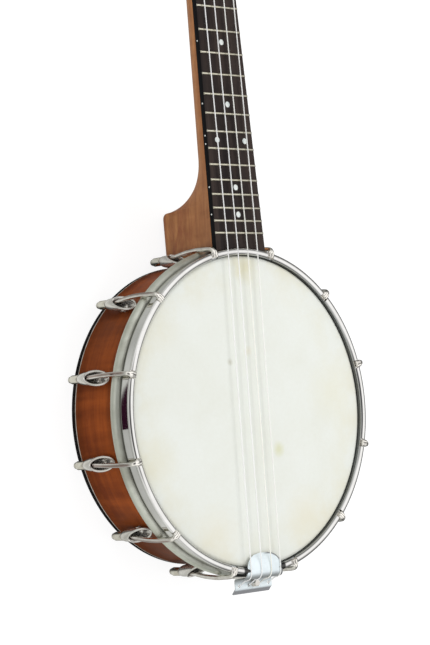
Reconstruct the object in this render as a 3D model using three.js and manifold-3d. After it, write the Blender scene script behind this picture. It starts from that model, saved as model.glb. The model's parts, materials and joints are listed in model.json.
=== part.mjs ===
// Banjo ukulele: a round open-backed pot with a skin head, twelve hooks, a neck with eighteen frets
// and four friction pegs. Millimetres. The origin is the centre of the head's outer face, +Z points
// out of the head and +Y along the neck.

import * as THREE from 'three';
import { mergeVertices } from 'three/addons/utils/BufferGeometryUtils.js';
import Module from 'manifold-3d';

const wasm = await Module();
wasm.setup();

// Fits and cutting
const seatGap = 0.3;
const overrun = 2;
const weldDistance = 0.0001;

// Pot rim and its binding
const potDepth = 56.4;
const rimOuterRadius = 89.8;
const rimWall = 8;
const bearingStep = 1.4;
const bearingRound = 1;
const bindingWidth = 2.4;
const bindingHeight = 2.9;
const ringSegments = 48;

// Skin head and the hoop it is lapped under
const skinThickness = 0.5;
const skinEdgeRound = 0.7;
const fleshHoopWidth = 1.8;
const fleshHoopHeight = 2.6;

// Tension hoop
const hoopRise = 1.4;
const hoopHeight = 8.4;
const hoopWall = 3.1;
const hoopLip = 0.5;
const hoopLipHeight = 4;
const hoopBeadStep = 0.5;
const hoopBeadHeight = 2.8;
const hoopEdgeRound = 1;

// Rounded ring under the hoop
const toneRingReach = 2.5;
const toneRingRound = 3.4;
const toneRingHeight = 7.4;
const toneRingSheet = 1.2;
const toneRingArcSteps = 6;

// Hooks, shoes and nuts
const hookCount = 12;
const neckHookOffset = 23.079;
const hookRadius = 1.35;
const hookSides = 8;
const hookBend = 2.4;
const hookStep = 0.5;
const hookSeat = 5.3;
const hookThreadLength = 7.4;
const clawWidth = 4.4;
const clawThickness = 2.2;
const clawSetback = 3.2;
const shoeWidth = 9.4;
const shoeHeight = 8.6;
const shoeLength = 22;
const shoeToe = 6.4;
const shoeLipHeight = 2.6;
const shoeWall = 1.5;
const shoeSeatShare = 0.65482;
const shoeArcSteps = 8;
const shoeBoltRadius = 2;
const shoeNutRadius = 4;
const shoeNutHeight = 3;
const nutRadius = 2.6;
const nutLength = 9;
const nutFloor = 1.6;
const nutDome = 1.3;
const smallSides = 8;
const hexSides = 6;

// Neck and fingerboard
const neckTiltDegrees = 2.37;
const scaleLength = 343;
const fretCount = 18;
const boardPastLastFret = 7.7688;
const boardEndGap = 2.5;
const boardEndHeight = 1.1205;
const boardThickness = 3.5;
const boardEndHalfWidth = 19.7;
const nutHalfWidth = 14.7;
const fretHeight = 0.8;
const fretWidth = 1.4;
const neckDepthAtNut = 12.2;
const neckDepthAtHeel = 16;
const heelFromBack = 5.4;
const heelReach = 34.2;
const heelSweep = 29;
const heelCorner = 3.4;
const heelArcSteps = 6;

// String nut and headstock
const nutThickness = 4.5;
const nutHeight = 3.3;
const headTiltDegrees = 4;
const headDrop = 2.6;
const headThickness = 12;
const headLength = 92;
const headHalfWidth = 24;
const headWaist = 21;
const headCurveSteps = 5;

// Dowel stick, its brace, and the tail hardware
const dowelSide = 15;
const dowelDepth = 29;
const dowelTenon = 20;
const braceHalfWidth = 14;
const braceHeight = 24;
const braceThickness = 2.4;
const boltRadius = 2;
const boltHeadRadius = 4;
const boltHeadHeight = 2.6;
const endBoltReach = 14;
const ledgeBoltRadius = 1.3;
const ledgeBoltHead = 2.1;
const strapThickness = 1.2;
const strapHalfWidth = 3.1;
const strapFootHeight = 12;

// Tailpiece
const tailReach = 6.6;
const tailHalfWidth = 13.7;
const tailSheet = 0.8;
const tailCamber = 1.1;
const tailNose = 9;
const tailNoseRise = 0.4;
const tailBend = 1.2;
const ledgeDrop = 8.4;
const ledgeLength = 8;
const ledgeHalfWidth = 14.7;
const ledgeLip = 2.8;
const stringHoleOffset = 1;
const tailTipShare = 0.25;
const tailAcrossSteps = 8;
const tailCurveSteps = 4;

// Strings and pegs
const stringCount = 4;
const stringSpacing = 7.95;
const stringRadius = 0.4;
const stringSides = 6;
const stringOverBoard = 1.5;
const stringOverNut = 2.65;
const stringTailLength = 1.6;
const windingTurns = 2.75;
const windingPitch = 1.3;
const windingSteps = 24;
const windingFromFace = 3.2;
const pegRadius = 3.2;
const pegFrontLength = 9.5;
const pegHoleRadius = 1.1;
const pegSides = 16;
const pegOffset = 14.5;
const pegNearDistance = 21;
const pegFarFromEnd = 33;
const pegCollarRadius = 5;
const pegCollarHeight = 3;
const pegNeckLength = 6;
const pegButtonWidth = 17;
const pegButtonLength = 13;
const pegButtonThickness = 6;

// Places that follow from the sizes above
const degrees = Math.PI / 180;
const rimBack = -potDepth;
const rimInnerRadius = rimOuterRadius - rimWall;
const rimTop = -(skinThickness + seatGap);
const bearingRadius = rimOuterRadius - bearingStep;
const skinInnerRadius = bearingRadius + seatGap;
const skinOuterRadius = skinInnerRadius + skinThickness;
const fleshInnerRadius = skinOuterRadius + seatGap;
const fleshOuterRadius = fleshInnerRadius + fleshHoopWidth;
const hoopInnerRadius = fleshOuterRadius + seatGap;
const hoopOuterRadius = hoopInnerRadius + hoopWall;
const hoopLipRadius = fleshInnerRadius + hoopLip;
const hoopLipBottom = hoopRise - hoopLipHeight;
const fleshTop = hoopLipBottom - seatGap;
const fleshBottom = fleshTop - fleshHoopHeight;
const skinFootTop = fleshBottom - seatGap;
const skinFootBottom = skinFootTop - skinThickness;
const rimShoulder = skinFootBottom - seatGap;
const hoopBottom = hoopRise - hoopHeight;
const ringTop = hoopBottom - seatGap;
const ringBottom = ringTop - toneRingHeight;
const ringInnerRadius = rimOuterRadius + seatGap;
const ringCrownRadius = hoopOuterRadius + toneRingReach;
const tailFront = hoopLipRadius - tailReach;
const boardEndDistance = hoopOuterRadius + boardEndGap;
const boardRise = boardEndHeight + boardEndDistance * Math.sin(neckTiltDegrees * degrees);
const fretDistance = (n) => scaleLength * (1 - 2 ** (-n / 12));
const nutDistance = boardEndDistance + boardPastLastFret + fretDistance(fretCount);
const heelDepth = potDepth - heelFromBack;
const heelToe = rimOuterRadius + heelReach;
const heelStart = heelToe + heelSweep;
const pegFarDistance = headLength - pegFarFromEnd;

// A welded copy of a geometry, without the triangles that welding has closed up
function welded(geometry) {
  const bare = geometry.clone();
  bare.deleteAttribute('normal');
  bare.deleteAttribute('uv');
  const merged = mergeVertices(bare, weldDistance);
  const corners = merged.index.array;
  const kept = [];
  for (let i = 0; i < corners.length; i += 3) {
    const [a, b, c] = [corners[i], corners[i + 1], corners[i + 2]];
    if (a !== b && b !== c && c !== a) kept.push(a, b, c);
  }
  merged.setIndex(kept);
  return merged;
}

// A geometry as a solid that can be joined and cut
function solidOf(geometry) {
  const closed = welded(geometry);
  return new wasm.Manifold(new wasm.Mesh({
    numProp: 3,
    vertProperties: new Float32Array(closed.attributes.position.array),
    triVerts: new Uint32Array(closed.index.array),
  }));
}

// A solid as a geometry again
function geometryOf(solid) {
  const mesh = solid.getMesh();
  const geometry = new THREE.BufferGeometry();
  geometry.setAttribute('position', new THREE.BufferAttribute(new Float32Array(mesh.vertProperties), 3));
  geometry.setIndex([...mesh.triVerts]);
  return geometry;
}

// The body less every cutter
function cut(body, cutters) {
  let solid = solidOf(body);
  for (const cutter of cutters) solid = solid.subtract(solidOf(cutter));
  return geometryOf(solid);
}

// The bodies as one
function joined(bodies) {
  let solid = solidOf(bodies[0]);
  for (const body of bodies.slice(1)) solid = solid.add(solidOf(body));
  return geometryOf(solid);
}

// A closed outline of [radius, height] turned round the Z axis
function turned(outline, segments) {
  const points = outline.map(([radius, height]) => new THREE.Vector2(radius, height));
  if (outline[0][0] > 0) points.push(points[0].clone());
  return new THREE.LatheGeometry(points, segments).rotateX(Math.PI / 2);
}

// A box between two corners
function boxBetween(low, high) {
  const size = high.map((value, i) => value - low[i]);
  const middle = high.map((value, i) => (value + low[i]) / 2);
  return new THREE.BoxGeometry(...size).translate(...middle);
}

// A round bar along +Y from one distance to another, at a height
function barAlongY(radius, from, to, height, sides) {
  const bar = new THREE.CylinderGeometry(radius, radius, to - from, sides);
  return bar.translate(0, (from + to) / 2, height);
}

// A round bar along +Z between two heights
function barAlongZ(radius, from, to, sides) {
  const bar = new THREE.CylinderGeometry(radius, radius, to - from, sides).rotateX(Math.PI / 2);
  return bar.translate(0, 0, (from + to) / 2);
}

// An outline of [x, y] points raised along +Z from a base height
function raised(outline, base, height) {
  const shape = new THREE.Shape(outline.map(([x, y]) => new THREE.Vector2(x, y)));
  const geometry = new THREE.ExtrudeGeometry(shape, { depth: height, bevelEnabled: false });
  return geometry.translate(0, 0, base);
}

// An outline of [y, z] points spread evenly to both sides along X
function spreadAcross(outline, width) {
  const toSide = new THREE.Matrix4().makeBasis(
    new THREE.Vector3(0, 1, 0),
    new THREE.Vector3(0, 0, 1),
    new THREE.Vector3(1, 0, 0),
  );
  return raised(outline, -width / 2, width).applyMatrix4(toSide);
}

// A closed skin over rings of points that all have the same count, with flat ends
function lofted(rings) {
  const count = rings[0].length;
  const positions = [];
  const indices = [];
  for (const ring of rings) for (const point of ring) positions.push(...point);
  for (let i = 0; i + 1 < rings.length; i += 1) {
    for (let j = 0; j < count; j += 1) {
      const next = (j + 1) % count;
      const [a, b] = [i * count + j, i * count + next];
      const [c, d] = [a + count, b + count];
      indices.push(a, b, d, a, d, c);
    }
  }
  const endFan = (ring, start, forward) => {
    const middle = [0, 1, 2].map((k) => ring.reduce((sum, point) => sum + point[k], 0) / count);
    const hub = positions.length / 3;
    positions.push(...middle);
    for (let j = 0; j < count; j += 1) {
      const [a, b] = [start + j, start + ((j + 1) % count)];
      if (forward) indices.push(hub, a, b);
      else indices.push(hub, b, a);
    }
  };
  endFan(rings[0], 0, false);
  endFan(rings[rings.length - 1], (rings.length - 1) * count, true);
  const geometry = new THREE.BufferGeometry();
  geometry.setAttribute('position', new THREE.Float32BufferAttribute(positions, 3));
  geometry.setIndex(indices);
  return geometry;
}

// A tube through a list of points, with flat ends square to the run; sizeAt gives its half-width and
// half-height at each point
function tubeThrough(points, sizeAt, sides) {
  const last = points.length - 1;
  const runs = points.map((point, i) => {
    const ahead = points[Math.min(i + 1, last)];
    const behind = points[Math.max(i - 1, 0)];
    return ahead.clone().sub(behind).normalize();
  });
  let across = new THREE.Vector3(1, 0, 0);
  if (Math.abs(runs[0].x) > Math.SQRT1_2) across = new THREE.Vector3(0, 0, 1);
  const rings = points.map((point, i) => {
    across.addScaledVector(runs[i], -across.dot(runs[i])).normalize();
    const up = runs[i].clone().cross(across);
    const [halfWidth, halfHeight] = sizeAt(i);
    return Array.from({ length: sides }, (unused, j) => {
      const angle = (j / sides) * 2 * Math.PI;
      const place = point.clone();
      place.addScaledVector(across, halfWidth * Math.cos(angle));
      place.addScaledVector(up, halfHeight * Math.sin(angle));
      return place.toArray();
    });
  });
  return lofted(rings);
}

// Materials
const finishes = {
  rimWood: { color: 0x7a3a1e, roughness: 0.35, metalness: 0 },
  neckWood: { color: 0x9c6a42, roughness: 0.45, metalness: 0 },
  darkBoard: { color: 0x2e2526, roughness: 0.5, metalness: 0 },
  blackTrim: { color: 0x191715, roughness: 0.3, metalness: 0 },
  skin: { color: 0xe6e5da, roughness: 0.6, metalness: 0 },
  nickel: { color: 0xc4c3bb, roughness: 0.25, metalness: 1 },
  string: { color: 0xeeeae0, roughness: 0.4, metalness: 0 },
  bone: { color: 0xe8dfc8, roughness: 0.4, metalness: 0 },
  pegWood: { color: 0x231a17, roughness: 0.35, metalness: 0 },
};

const instrument = new THREE.Group();

function place(name, geometry, finish, parent = instrument) {
  const mesh = new THREE.Mesh(welded(geometry), new THREE.MeshStandardMaterial(finishes[finish]));
  mesh.name = name;
  parent.add(mesh);
  return mesh;
}

// Shoe places: from the rim's face, and between the ring and the back
const shoeFoot = rimOuterRadius + seatGap;
const shoeBackEnd = rimBack + shoeSeatShare * (ringBottom - rimBack - shoeLength);
const shoeHeadEnd = shoeBackEnd + shoeLength;
const shoeMiddle = (shoeBackEnd + shoeHeadEnd) / 2;
const hookAtShoe = shoeFoot + hookSeat;

// The stations round the pot: evenly spaced, with the pair beside the neck set to clear the heel
const stations = Array.from({ length: hookCount }, (unused, i) => ((i + 0.5) * 360) / hookCount);
stations[0] = Math.asin(neckHookOffset / hookAtShoe) / degrees;
stations[hookCount - 1] = 360 - stations[0];

// A shape made on +Y, turned to a station
function atStation(geometry, station) {
  return geometry.rotateZ(-station * degrees);
}

// Holes through the rim
const shoeBoltHole = shoeBoltRadius + seatGap;
const dowelHalf = dowelSide / 2;
const dowelLow = -dowelDepth - dowelHalf;
const dowelHigh = -dowelDepth + dowelHalf;

// Rim: plain inside, turned down at the top, rebated for the binding
const rimOutline = [
  [rimInnerRadius, rimBack],
  [rimOuterRadius - bindingWidth - seatGap, rimBack],
  [rimOuterRadius - bindingWidth - seatGap, rimBack + bindingHeight + seatGap],
  [rimOuterRadius, rimBack + bindingHeight + seatGap],
  [rimOuterRadius, rimShoulder],
  [bearingRadius, rimShoulder],
  [bearingRadius, rimTop - bearingRound],
  [bearingRadius - bearingRound, rimTop],
  [rimInnerRadius, rimTop],
];
const wallIn = rimInnerRadius - overrun;
const wallOut = rimOuterRadius + overrun;
const shoeHoles = stations.map((station) => (
  atStation(barAlongY(shoeBoltHole, wallIn, wallOut, shoeMiddle, smallSides), station)
));
const dowelHole = boxBetween(
  [-dowelHalf - seatGap, 0, dowelLow - seatGap],
  [dowelHalf + seatGap, wallOut, dowelHigh + seatGap],
);
const endBoltHole = barAlongY(boltRadius + seatGap, -wallOut, -wallIn, -dowelDepth, smallSides);
place('pot_rim', cut(turned(rimOutline, ringSegments), [...shoeHoles, dowelHole, endBoltHole]), 'rimWood');

place('rim_binding', turned([
  [rimOuterRadius - bindingWidth, rimBack],
  [rimOuterRadius, rimBack],
  [rimOuterRadius, rimBack + bindingHeight],
  [rimOuterRadius - bindingWidth, rimBack + bindingHeight],
], ringSegments), 'blackTrim');

// Ring of spun sheet, half round outside and open towards the rim
const ringMiddle = (ringTop + ringBottom) / 2;
const ringArcCentre = ringCrownRadius - toneRingRound;
const ringArc = (round, halfHeight, steps) => Array.from({ length: steps + 1 }, (unused, i) => {
  const angle = (i / steps - 0.5) * Math.PI;
  return [ringArcCentre + round * Math.cos(angle), ringMiddle + halfHeight * Math.sin(angle)];
});
const ringHalf = toneRingHeight / 2;
const ringInside = ringArc(toneRingRound - toneRingSheet, ringHalf - toneRingSheet, toneRingArcSteps / 2);
place('tone_ring', turned([
  [ringInnerRadius, ringBottom],
  ...ringArc(toneRingRound, ringHalf, toneRingArcSteps),
  [ringInnerRadius, ringTop],
  [ringInnerRadius, ringTop - toneRingSheet],
  ...ringInside.reverse(),
  [ringInnerRadius, ringBottom + toneRingSheet],
], ringSegments), 'nickel');

place('flesh_hoop', turned([
  [fleshInnerRadius, fleshBottom],
  [fleshOuterRadius, fleshBottom],
  [fleshOuterRadius, fleshTop],
  [fleshInnerRadius, fleshTop],
], ringSegments), 'nickel');

place('tension_hoop', turned([
  [hoopInnerRadius, hoopBottom],
  [hoopOuterRadius - hoopBeadStep, hoopBottom],
  [hoopOuterRadius - hoopBeadStep, hoopRise - hoopBeadHeight],
  [hoopOuterRadius, hoopRise - hoopBeadHeight + hoopBeadStep],
  [hoopOuterRadius, hoopRise - hoopEdgeRound],
  [hoopOuterRadius - hoopEdgeRound, hoopRise],
  [hoopLipRadius + hoopEdgeRound, hoopRise],
  [hoopLipRadius, hoopRise - hoopEdgeRound],
  [hoopLipRadius, hoopLipBottom],
  [hoopInnerRadius, hoopLipBottom],
], ringSegments), 'nickel');

// Skin: flat over the pot, turned down over the bearing edge and out under the flesh hoop
place('drum_head', turned([
  [0, -skinThickness],
  [skinInnerRadius - skinEdgeRound, -skinThickness],
  [skinInnerRadius, -skinThickness - skinEdgeRound],
  [skinInnerRadius, skinFootBottom],
  [fleshOuterRadius, skinFootBottom],
  [fleshOuterRadius, skinFootTop],
  [skinOuterRadius, skinFootTop],
  [skinOuterRadius, -skinEdgeRound],
  [skinOuterRadius - skinEdgeRound, 0],
  [0, 0],
], ringSegments), 'skin');

// Hook: straight in the shoe, bowed out round the ring, then over the hoop's edge to a flat claw
const hookClear = hookRadius + seatGap;
const hookBow = ringCrownRadius + hookClear;
const hookRise = hookBow - hookAtShoe;
const hookEnd = shoeBackEnd - seatGap - hookThreadLength;
const toeEnd = shoeBackEnd + shoeToe;
const clawHeight = hoopRise + seatGap + clawThickness / 2;
const hookRiseShares = [[0, 0], [0.3, 0.5], [0.66, 0.88]];
const hookRun = [
  [hookAtShoe, hookEnd],
  ...hookRiseShares.map(([along, out]) => (
    [hookAtShoe + out * hookRise, toeEnd + along * (ringMiddle - toeEnd)]
  )),
  [hookBow, ringMiddle],
  [hookBow - hookStep / 2, ringTop],
  [hookBow - hookStep, clawHeight - hookBend],
  [hookBow - hookStep - hookBend * (1 - Math.SQRT1_2), clawHeight - hookBend * (1 - Math.SQRT1_2)],
  [hookBow - hookStep - hookBend, clawHeight],
  [hoopLipRadius + clawSetback, clawHeight],
];
const clawPoints = 2;

function hookGeometry() {
  const points = hookRun.map(([radius, height]) => new THREE.Vector3(0, radius, height));
  const flatten = (i) => (i < points.length - clawPoints
    ? [hookRadius, hookRadius]
    : [clawWidth / 2, clawThickness / 2]);
  return tubeThrough(points, flatten, hookSides);
}

// Closed nut: a domed cap with a blind bore for the hook's thread
function hookNutGeometry() {
  const mouth = shoeBackEnd - seatGap;
  const bore = hookRadius + seatGap;
  const end = mouth - nutLength;
  const outline = [
    [0, end],
    [nutRadius - nutDome, end],
    [nutRadius, end + nutDome],
    [nutRadius, mouth],
    [bore, mouth],
    [bore, end + nutFloor - seatGap],
    [0, end + nutFloor - seatGap],
  ];
  return turned(outline, smallSides).translate(0, hookAtShoe, 0);
}

// A round section cut flat at the foot
function footedRound(radius, foot, top) {
  const centre = top - radius;
  const low = Math.asin((centre - foot) / radius);
  return Array.from({ length: shoeArcSteps + 1 }, (unused, i) => {
    const angle = -low + (i / shoeArcSteps) * (Math.PI + 2 * low);
    return [radius * Math.cos(angle), centre + radius * Math.sin(angle)];
  });
}

// Slipper shoe: closed toe with the hook's hole, sloped mouth towards the head, bolt through the rim
function shoeGeometry() {
  const top = shoeFoot + shoeHeight;
  const sideOutline = [
    [shoeFoot, shoeBackEnd],
    [top, shoeBackEnd],
    [top, shoeBackEnd + shoeToe],
    [shoeFoot + shoeLipHeight, shoeHeadEnd - shoeWall],
    [shoeFoot, shoeHeadEnd],
  ];
  const arch = footedRound(shoeWidth / 2, shoeFoot, top);
  const side = solidOf(spreadAcross(sideOutline, shoeWidth + overrun));
  const body = side.intersect(solidOf(raised(arch, shoeBackEnd - overrun, shoeLength + 2 * overrun)));
  const hollowRadius = shoeWidth / 2 - shoeWall;
  const hollow = footedRound(hollowRadius, shoeFoot + shoeWall, top - shoeWall);
  const hollowLength = shoeLength - shoeToe - 2 * shoeWall;
  const hollowCut = raised(hollow, toeEnd, hollowLength);
  const mouthCut = boxBetween(
    [-hollowRadius, top - shoeWidth / 2, toeEnd],
    [hollowRadius, top + overrun, toeEnd + hollowLength],
  );
  const holeCut = barAlongZ(hookClear, shoeBackEnd - overrun, shoeBackEnd + shoeToe + overrun, smallSides);
  holeCut.translate(0, hookAtShoe, 0);
  const innerFace = rimInnerRadius - seatGap;
  const nutFace = innerFace - shoeNutHeight;
  const bolt = barAlongY(shoeBoltRadius, nutFace, shoeFoot + shoeWall / 2, shoeMiddle, smallSides);
  const innerNut = barAlongY(shoeNutRadius, nutFace - seatGap, innerFace, shoeMiddle, hexSides);
  let solid = body.subtract(solidOf(hollowCut)).subtract(solidOf(mouthCut)).subtract(solidOf(holeCut));
  solid = solid.add(solidOf(bolt)).add(solidOf(innerNut));
  return geometryOf(solid);
}

stations.forEach((station, i) => {
  const number = String(i + 1).padStart(2, '0');
  place(`hook_${number}`, atStation(hookGeometry(), station), 'nickel');
  place(`hook_nut_${number}`, atStation(hookNutGeometry(), station), 'nickel');
  place(`shoe_${number}`, atStation(shoeGeometry(), station), 'nickel');
});

// The neck's own frame lies on the fingerboard's top face and meets the pot's axis
const neckFrame = new THREE.Group();
neckFrame.position.set(0, 0, boardRise);
neckFrame.rotation.x = -neckTiltDegrees * degrees;
instrument.add(neckFrame);
neckFrame.updateMatrixWorld(true);
const potToNeck = neckFrame.matrixWorld.clone().invert();

const halfWidthAt = (distance) => {
  const share = (distance - boardEndDistance) / (nutDistance - boardEndDistance);
  return boardEndHalfWidth + share * (nutHalfWidth - boardEndHalfWidth);
};

// Depth of the wood under the fingerboard: a slow taper, a hollow curve into the heel, a round corner
const heelHollowDepth = heelDepth - heelCorner;
function neckProfile() {
  const profile = [];
  const hollowLength = heelStart - heelToe;
  const hollowRise = heelHollowDepth - neckDepthAtHeel;
  profile.push([rimInnerRadius + rimWall / 2, heelDepth, 1]);
  profile.push([heelToe - heelCorner, heelDepth, 1]);
  profile.push([heelToe - heelCorner * (1 - Math.SQRT1_2), heelHollowDepth + heelCorner * Math.SQRT1_2, 1]);
  for (let i = 0; i <= heelArcSteps; i += 1) {
    const angle = (i / heelArcSteps) * (Math.PI / 2);
    const distance = heelStart - hollowLength * Math.cos(angle);
    const depth = heelHollowDepth - hollowRise * Math.sin(angle);
    profile.push([distance, depth, 1 - i / heelArcSteps]);
  }
  profile.push([nutDistance, neckDepthAtNut, 0]);
  return profile;
}

// Half of the neck's section, as shares of half-width and depth, for the plain neck and for the heel
const neckSectionShares = [
  [1, 0],
  [0.985, 0.2],
  [0.91, 0.42],
  [0.78, 0.63],
  [0.6, 0.8],
  [0.34, 0.94],
  [0, 1],
];
const heelSectionShares = [
  [1, 0],
  [0.88, 0.2],
  [0.79, 0.42],
  [0.73, 0.63],
  [0.68, 0.84],
  [0.6, 0.97],
  [0, 1],
];

function neckSection(distance, halfWidth, depth, heelShare) {
  const half = neckSectionShares.map(([across, down], i) => {
    const [heelAcross, heelDown] = heelSectionShares[i];
    const x = halfWidth * (across + heelShare * (heelAcross - across));
    const z = -boardThickness - seatGap - depth * (down + heelShare * (heelDown - down));
    return [x, distance, z];
  });
  const otherHalf = half.slice(0, -1).reverse().map(([x, y, z]) => [-x, y, z]);
  return [...half, ...otherHalf];
}

// Headstock outline, mirrored about the middle
const headStart = nutDistance + nutThickness;
function headOutline() {
  const shape = new THREE.Shape();
  const shoulder = headHalfWidth / 2;
  const side = (sign) => [
    [sign * nutHalfWidth, -nutThickness],
    [sign * nutHalfWidth, 0],
    [sign * headHalfWidth, shoulder],
    [sign * headHalfWidth, headLength - shoulder],
  ];
  const [rightStart, rightNeck, rightShoulder, rightEnd] = side(1);
  const [leftStart, leftNeck, leftShoulder, leftEnd] = side(-1);
  shape.moveTo(...rightStart);
  shape.lineTo(...rightNeck);
  shape.quadraticCurveTo(nutHalfWidth, shoulder / 2, ...rightShoulder);
  shape.quadraticCurveTo(headWaist, headLength / 2, ...rightEnd);
  shape.quadraticCurveTo(headHalfWidth, headLength, 0, headLength);
  shape.quadraticCurveTo(-headHalfWidth, headLength, ...leftEnd);
  shape.quadraticCurveTo(-headWaist, headLength / 2, ...leftShoulder);
  shape.quadraticCurveTo(-nutHalfWidth, shoulder / 2, ...leftNeck);
  shape.lineTo(...leftStart);
  return shape.getPoints(headCurveSteps).map((point) => [point.x, point.y]);
}

const headFrame = new THREE.Group();
headFrame.position.set(0, headStart, 0);
headFrame.rotation.x = -headTiltDegrees * degrees;
neckFrame.add(headFrame);
neckFrame.updateMatrixWorld(true);
const headBack = -headDrop - headThickness;

// Peg places in the head's frame: outer strings to the near pair, inner strings to the far pair
const pegPlaces = [
  [-pegOffset, pegNearDistance],
  [-pegOffset, pegFarDistance],
  [pegOffset, pegFarDistance],
  [pegOffset, pegNearDistance],
];

function neckGeometry() {
  const sections = neckProfile().map(([distance, depth, heelShare]) => (
    neckSection(distance, halfWidthAt(distance), depth, heelShare)
  ));
  const rampShares = [[0.35, 0.8, 0.9], [0.8, 0.5, 0.6]];
  for (const [along, wide, deep] of rampShares) {
    const distance = headStart + along * headHalfWidth;
    sections.push(neckSection(distance, nutHalfWidth * wide, neckDepthAtNut * deep, 0));
  }
  const headBlock = raised(headOutline(), headBack, headThickness).applyMatrix4(headFrame.matrix);
  const wood = joined([lofted(sections), headBlock]);
  const fingerboardSeat = boxBetween(
    [-headHalfWidth, 0, -boardThickness - seatGap],
    [headHalfWidth, headStart + seatGap, nutHeight],
  );
  const pegHoles = pegPlaces.map(([x, y]) => (
    barAlongZ(pegRadius + seatGap, headBack - overrun, overrun, pegSides)
      .translate(x, y, 0)
      .applyMatrix4(headFrame.matrix)
  ));
  const ringRoom = turned([
    [0, ringBottom - seatGap],
    [ringCrownRadius + 2 * seatGap, ringBottom - seatGap],
    [ringCrownRadius + 2 * seatGap, boardRise],
    [0, boardRise],
  ], ringSegments).applyMatrix4(potToNeck);
  const rimRoom = turned([
    [0, rimBack - overrun],
    [rimOuterRadius + seatGap, rimBack - overrun],
    [rimOuterRadius + seatGap, boardRise],
    [0, boardRise],
  ], ringSegments).applyMatrix4(potToNeck);
  const tenonHole = boxBetween(
    [-dowelHalf - seatGap, 0, dowelLow - seatGap],
    [dowelHalf + seatGap, rimOuterRadius + dowelTenon + seatGap, dowelHigh + seatGap],
  ).applyMatrix4(potToNeck);
  return cut(geometryOf(solidOf(wood)), [fingerboardSeat, ringRoom, rimRoom, tenonHole, ...pegHoles]);
}
place('neck', neckGeometry(), 'neckWood', neckFrame);

// Fingerboard with its frets pressed in
function fingerboardGeometry() {
  const endHalf = boardEndHalfWidth;
  const board = raised([
    [-endHalf, boardEndDistance],
    [endHalf, boardEndDistance],
    [nutHalfWidth, nutDistance - seatGap],
    [-nutHalfWidth, nutDistance - seatGap],
  ], -boardThickness, boardThickness);
  const pieces = [board];
  for (let n = 1; n <= fretCount; n += 1) {
    const distance = nutDistance - fretDistance(n);
    const half = fretWidth / 2;
    const outline = [
      [distance - half, -fretHeight],
      [distance + half, -fretHeight],
      [distance + half, 0],
      [distance + half / 2, fretHeight],
      [distance - half / 2, fretHeight],
      [distance - half, 0],
    ];
    pieces.push(spreadAcross(outline, 2 * halfWidthAt(distance)));
  }
  return joined(pieces);
}
place('fingerboard', fingerboardGeometry(), 'darkBoard', neckFrame);

// Where each string crosses, from left to right
const stringXs = Array.from({ length: stringCount }, (unused, i) => (
  (i - (stringCount - 1) / 2) * stringSpacing
));

// String nut, slotted to half-bury each string
function stringNutGeometry() {
  const block = boxBetween(
    [-nutHalfWidth, nutDistance, -boardThickness],
    [nutHalfWidth, headStart, nutHeight],
  );
  const slotHalf = stringRadius + seatGap;
  const slots = stringXs.map((x) => boxBetween(
    [x - slotHalf, nutDistance - overrun, stringOverNut - slotHalf],
    [x + slotHalf, headStart + overrun, nutHeight + overrun],
  ));
  return cut(block, slots);
}
place('string_nut', stringNutGeometry(), 'bone', neckFrame);

// Dowel stick from the heel through the pot to the tail end
const dowelTailEnd = -Math.sqrt(rimInnerRadius ** 2 - dowelHalf ** 2) + 2 * seatGap;
place('dowel_stick', cut(boxBetween(
  [-dowelHalf, dowelTailEnd, dowelLow],
  [dowelHalf, rimOuterRadius + dowelTenon, dowelHigh],
), [barAlongY(
  boltRadius + seatGap,
  dowelTailEnd - overrun,
  dowelTailEnd + endBoltReach + seatGap,
  -dowelDepth,
  smallSides,
)]), 'neckWood');

// Brace plate round the dowel, its ends against the inside of the rim
const braceFace = Math.sqrt(rimInnerRadius ** 2 - braceHalfWidth ** 2) - 2 * seatGap;
place('neck_brace', cut(boxBetween(
  [-braceHalfWidth, braceFace - braceThickness, -dowelDepth - braceHeight / 2],
  [braceHalfWidth, braceFace, -dowelDepth + braceHeight / 2],
), [boxBetween(
  [-dowelHalf - seatGap, braceFace - braceThickness - overrun, dowelLow - seatGap],
  [dowelHalf + seatGap, braceFace + overrun, dowelHigh + seatGap],
)]), 'nickel');

// Tailpiece: its middle line in side view, from the nose on the skin over the hoop to the lip
const crest = (hoopLipRadius + hoopOuterRadius) / 2;
const crestHeight = hoopRise + seatGap + tailCamber + tailSheet / 2;
const tailWall = ringCrownRadius + seatGap + tailSheet / 2;
const ledgeHeight = -ledgeDrop;
const noseHeight = seatGap + tailNoseRise + tailSheet / 2;
const ledgeEnd = tailWall + ledgeLength;
const wallTop = crestHeight - (tailWall - crest);
function tailpieceLine() {
  const line = new THREE.Path();
  line.moveTo(-tailFront, noseHeight);
  line.quadraticCurveTo(-(tailFront + crest) / 2, crestHeight, -crest, crestHeight);
  line.quadraticCurveTo(-tailWall, crestHeight, -tailWall, wallTop);
  line.lineTo(-tailWall, ledgeHeight + tailBend);
  line.quadraticCurveTo(-tailWall, ledgeHeight, -tailWall - tailBend, ledgeHeight);
  line.lineTo(-ledgeEnd, ledgeHeight);
  line.lineTo(-ledgeEnd - tailSheet, ledgeHeight - ledgeLip);
  const points = line.getPoints(tailCurveSteps);
  const last = points.length - 1;
  return points.map((point, i) => {
    const run = points[Math.min(i + 1, last)].clone().sub(points[Math.max(i - 1, 0)]).normalize();
    return { y: point.x, z: point.y, outY: run.y, outZ: -run.x };
  });
}

// Half-width and camber of the plate at a distance from the pot's axis
function tailpieceAcross(distance) {
  const intoNose = Math.min((distance - tailFront) / tailNose, 1);
  const rounded = Math.sqrt(Math.max(1 - (1 - intoNose) ** 2, 0));
  const noseShare = tailTipShare + (1 - tailTipShare) * rounded;
  const outward = Math.min(Math.max((distance - crest) / (tailWall - crest), 0), 1);
  return {
    halfWidth: tailHalfWidth * noseShare + outward * (ledgeHalfWidth - tailHalfWidth),
    camber: tailCamber * intoNose * (1 - outward),
  };
}

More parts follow.
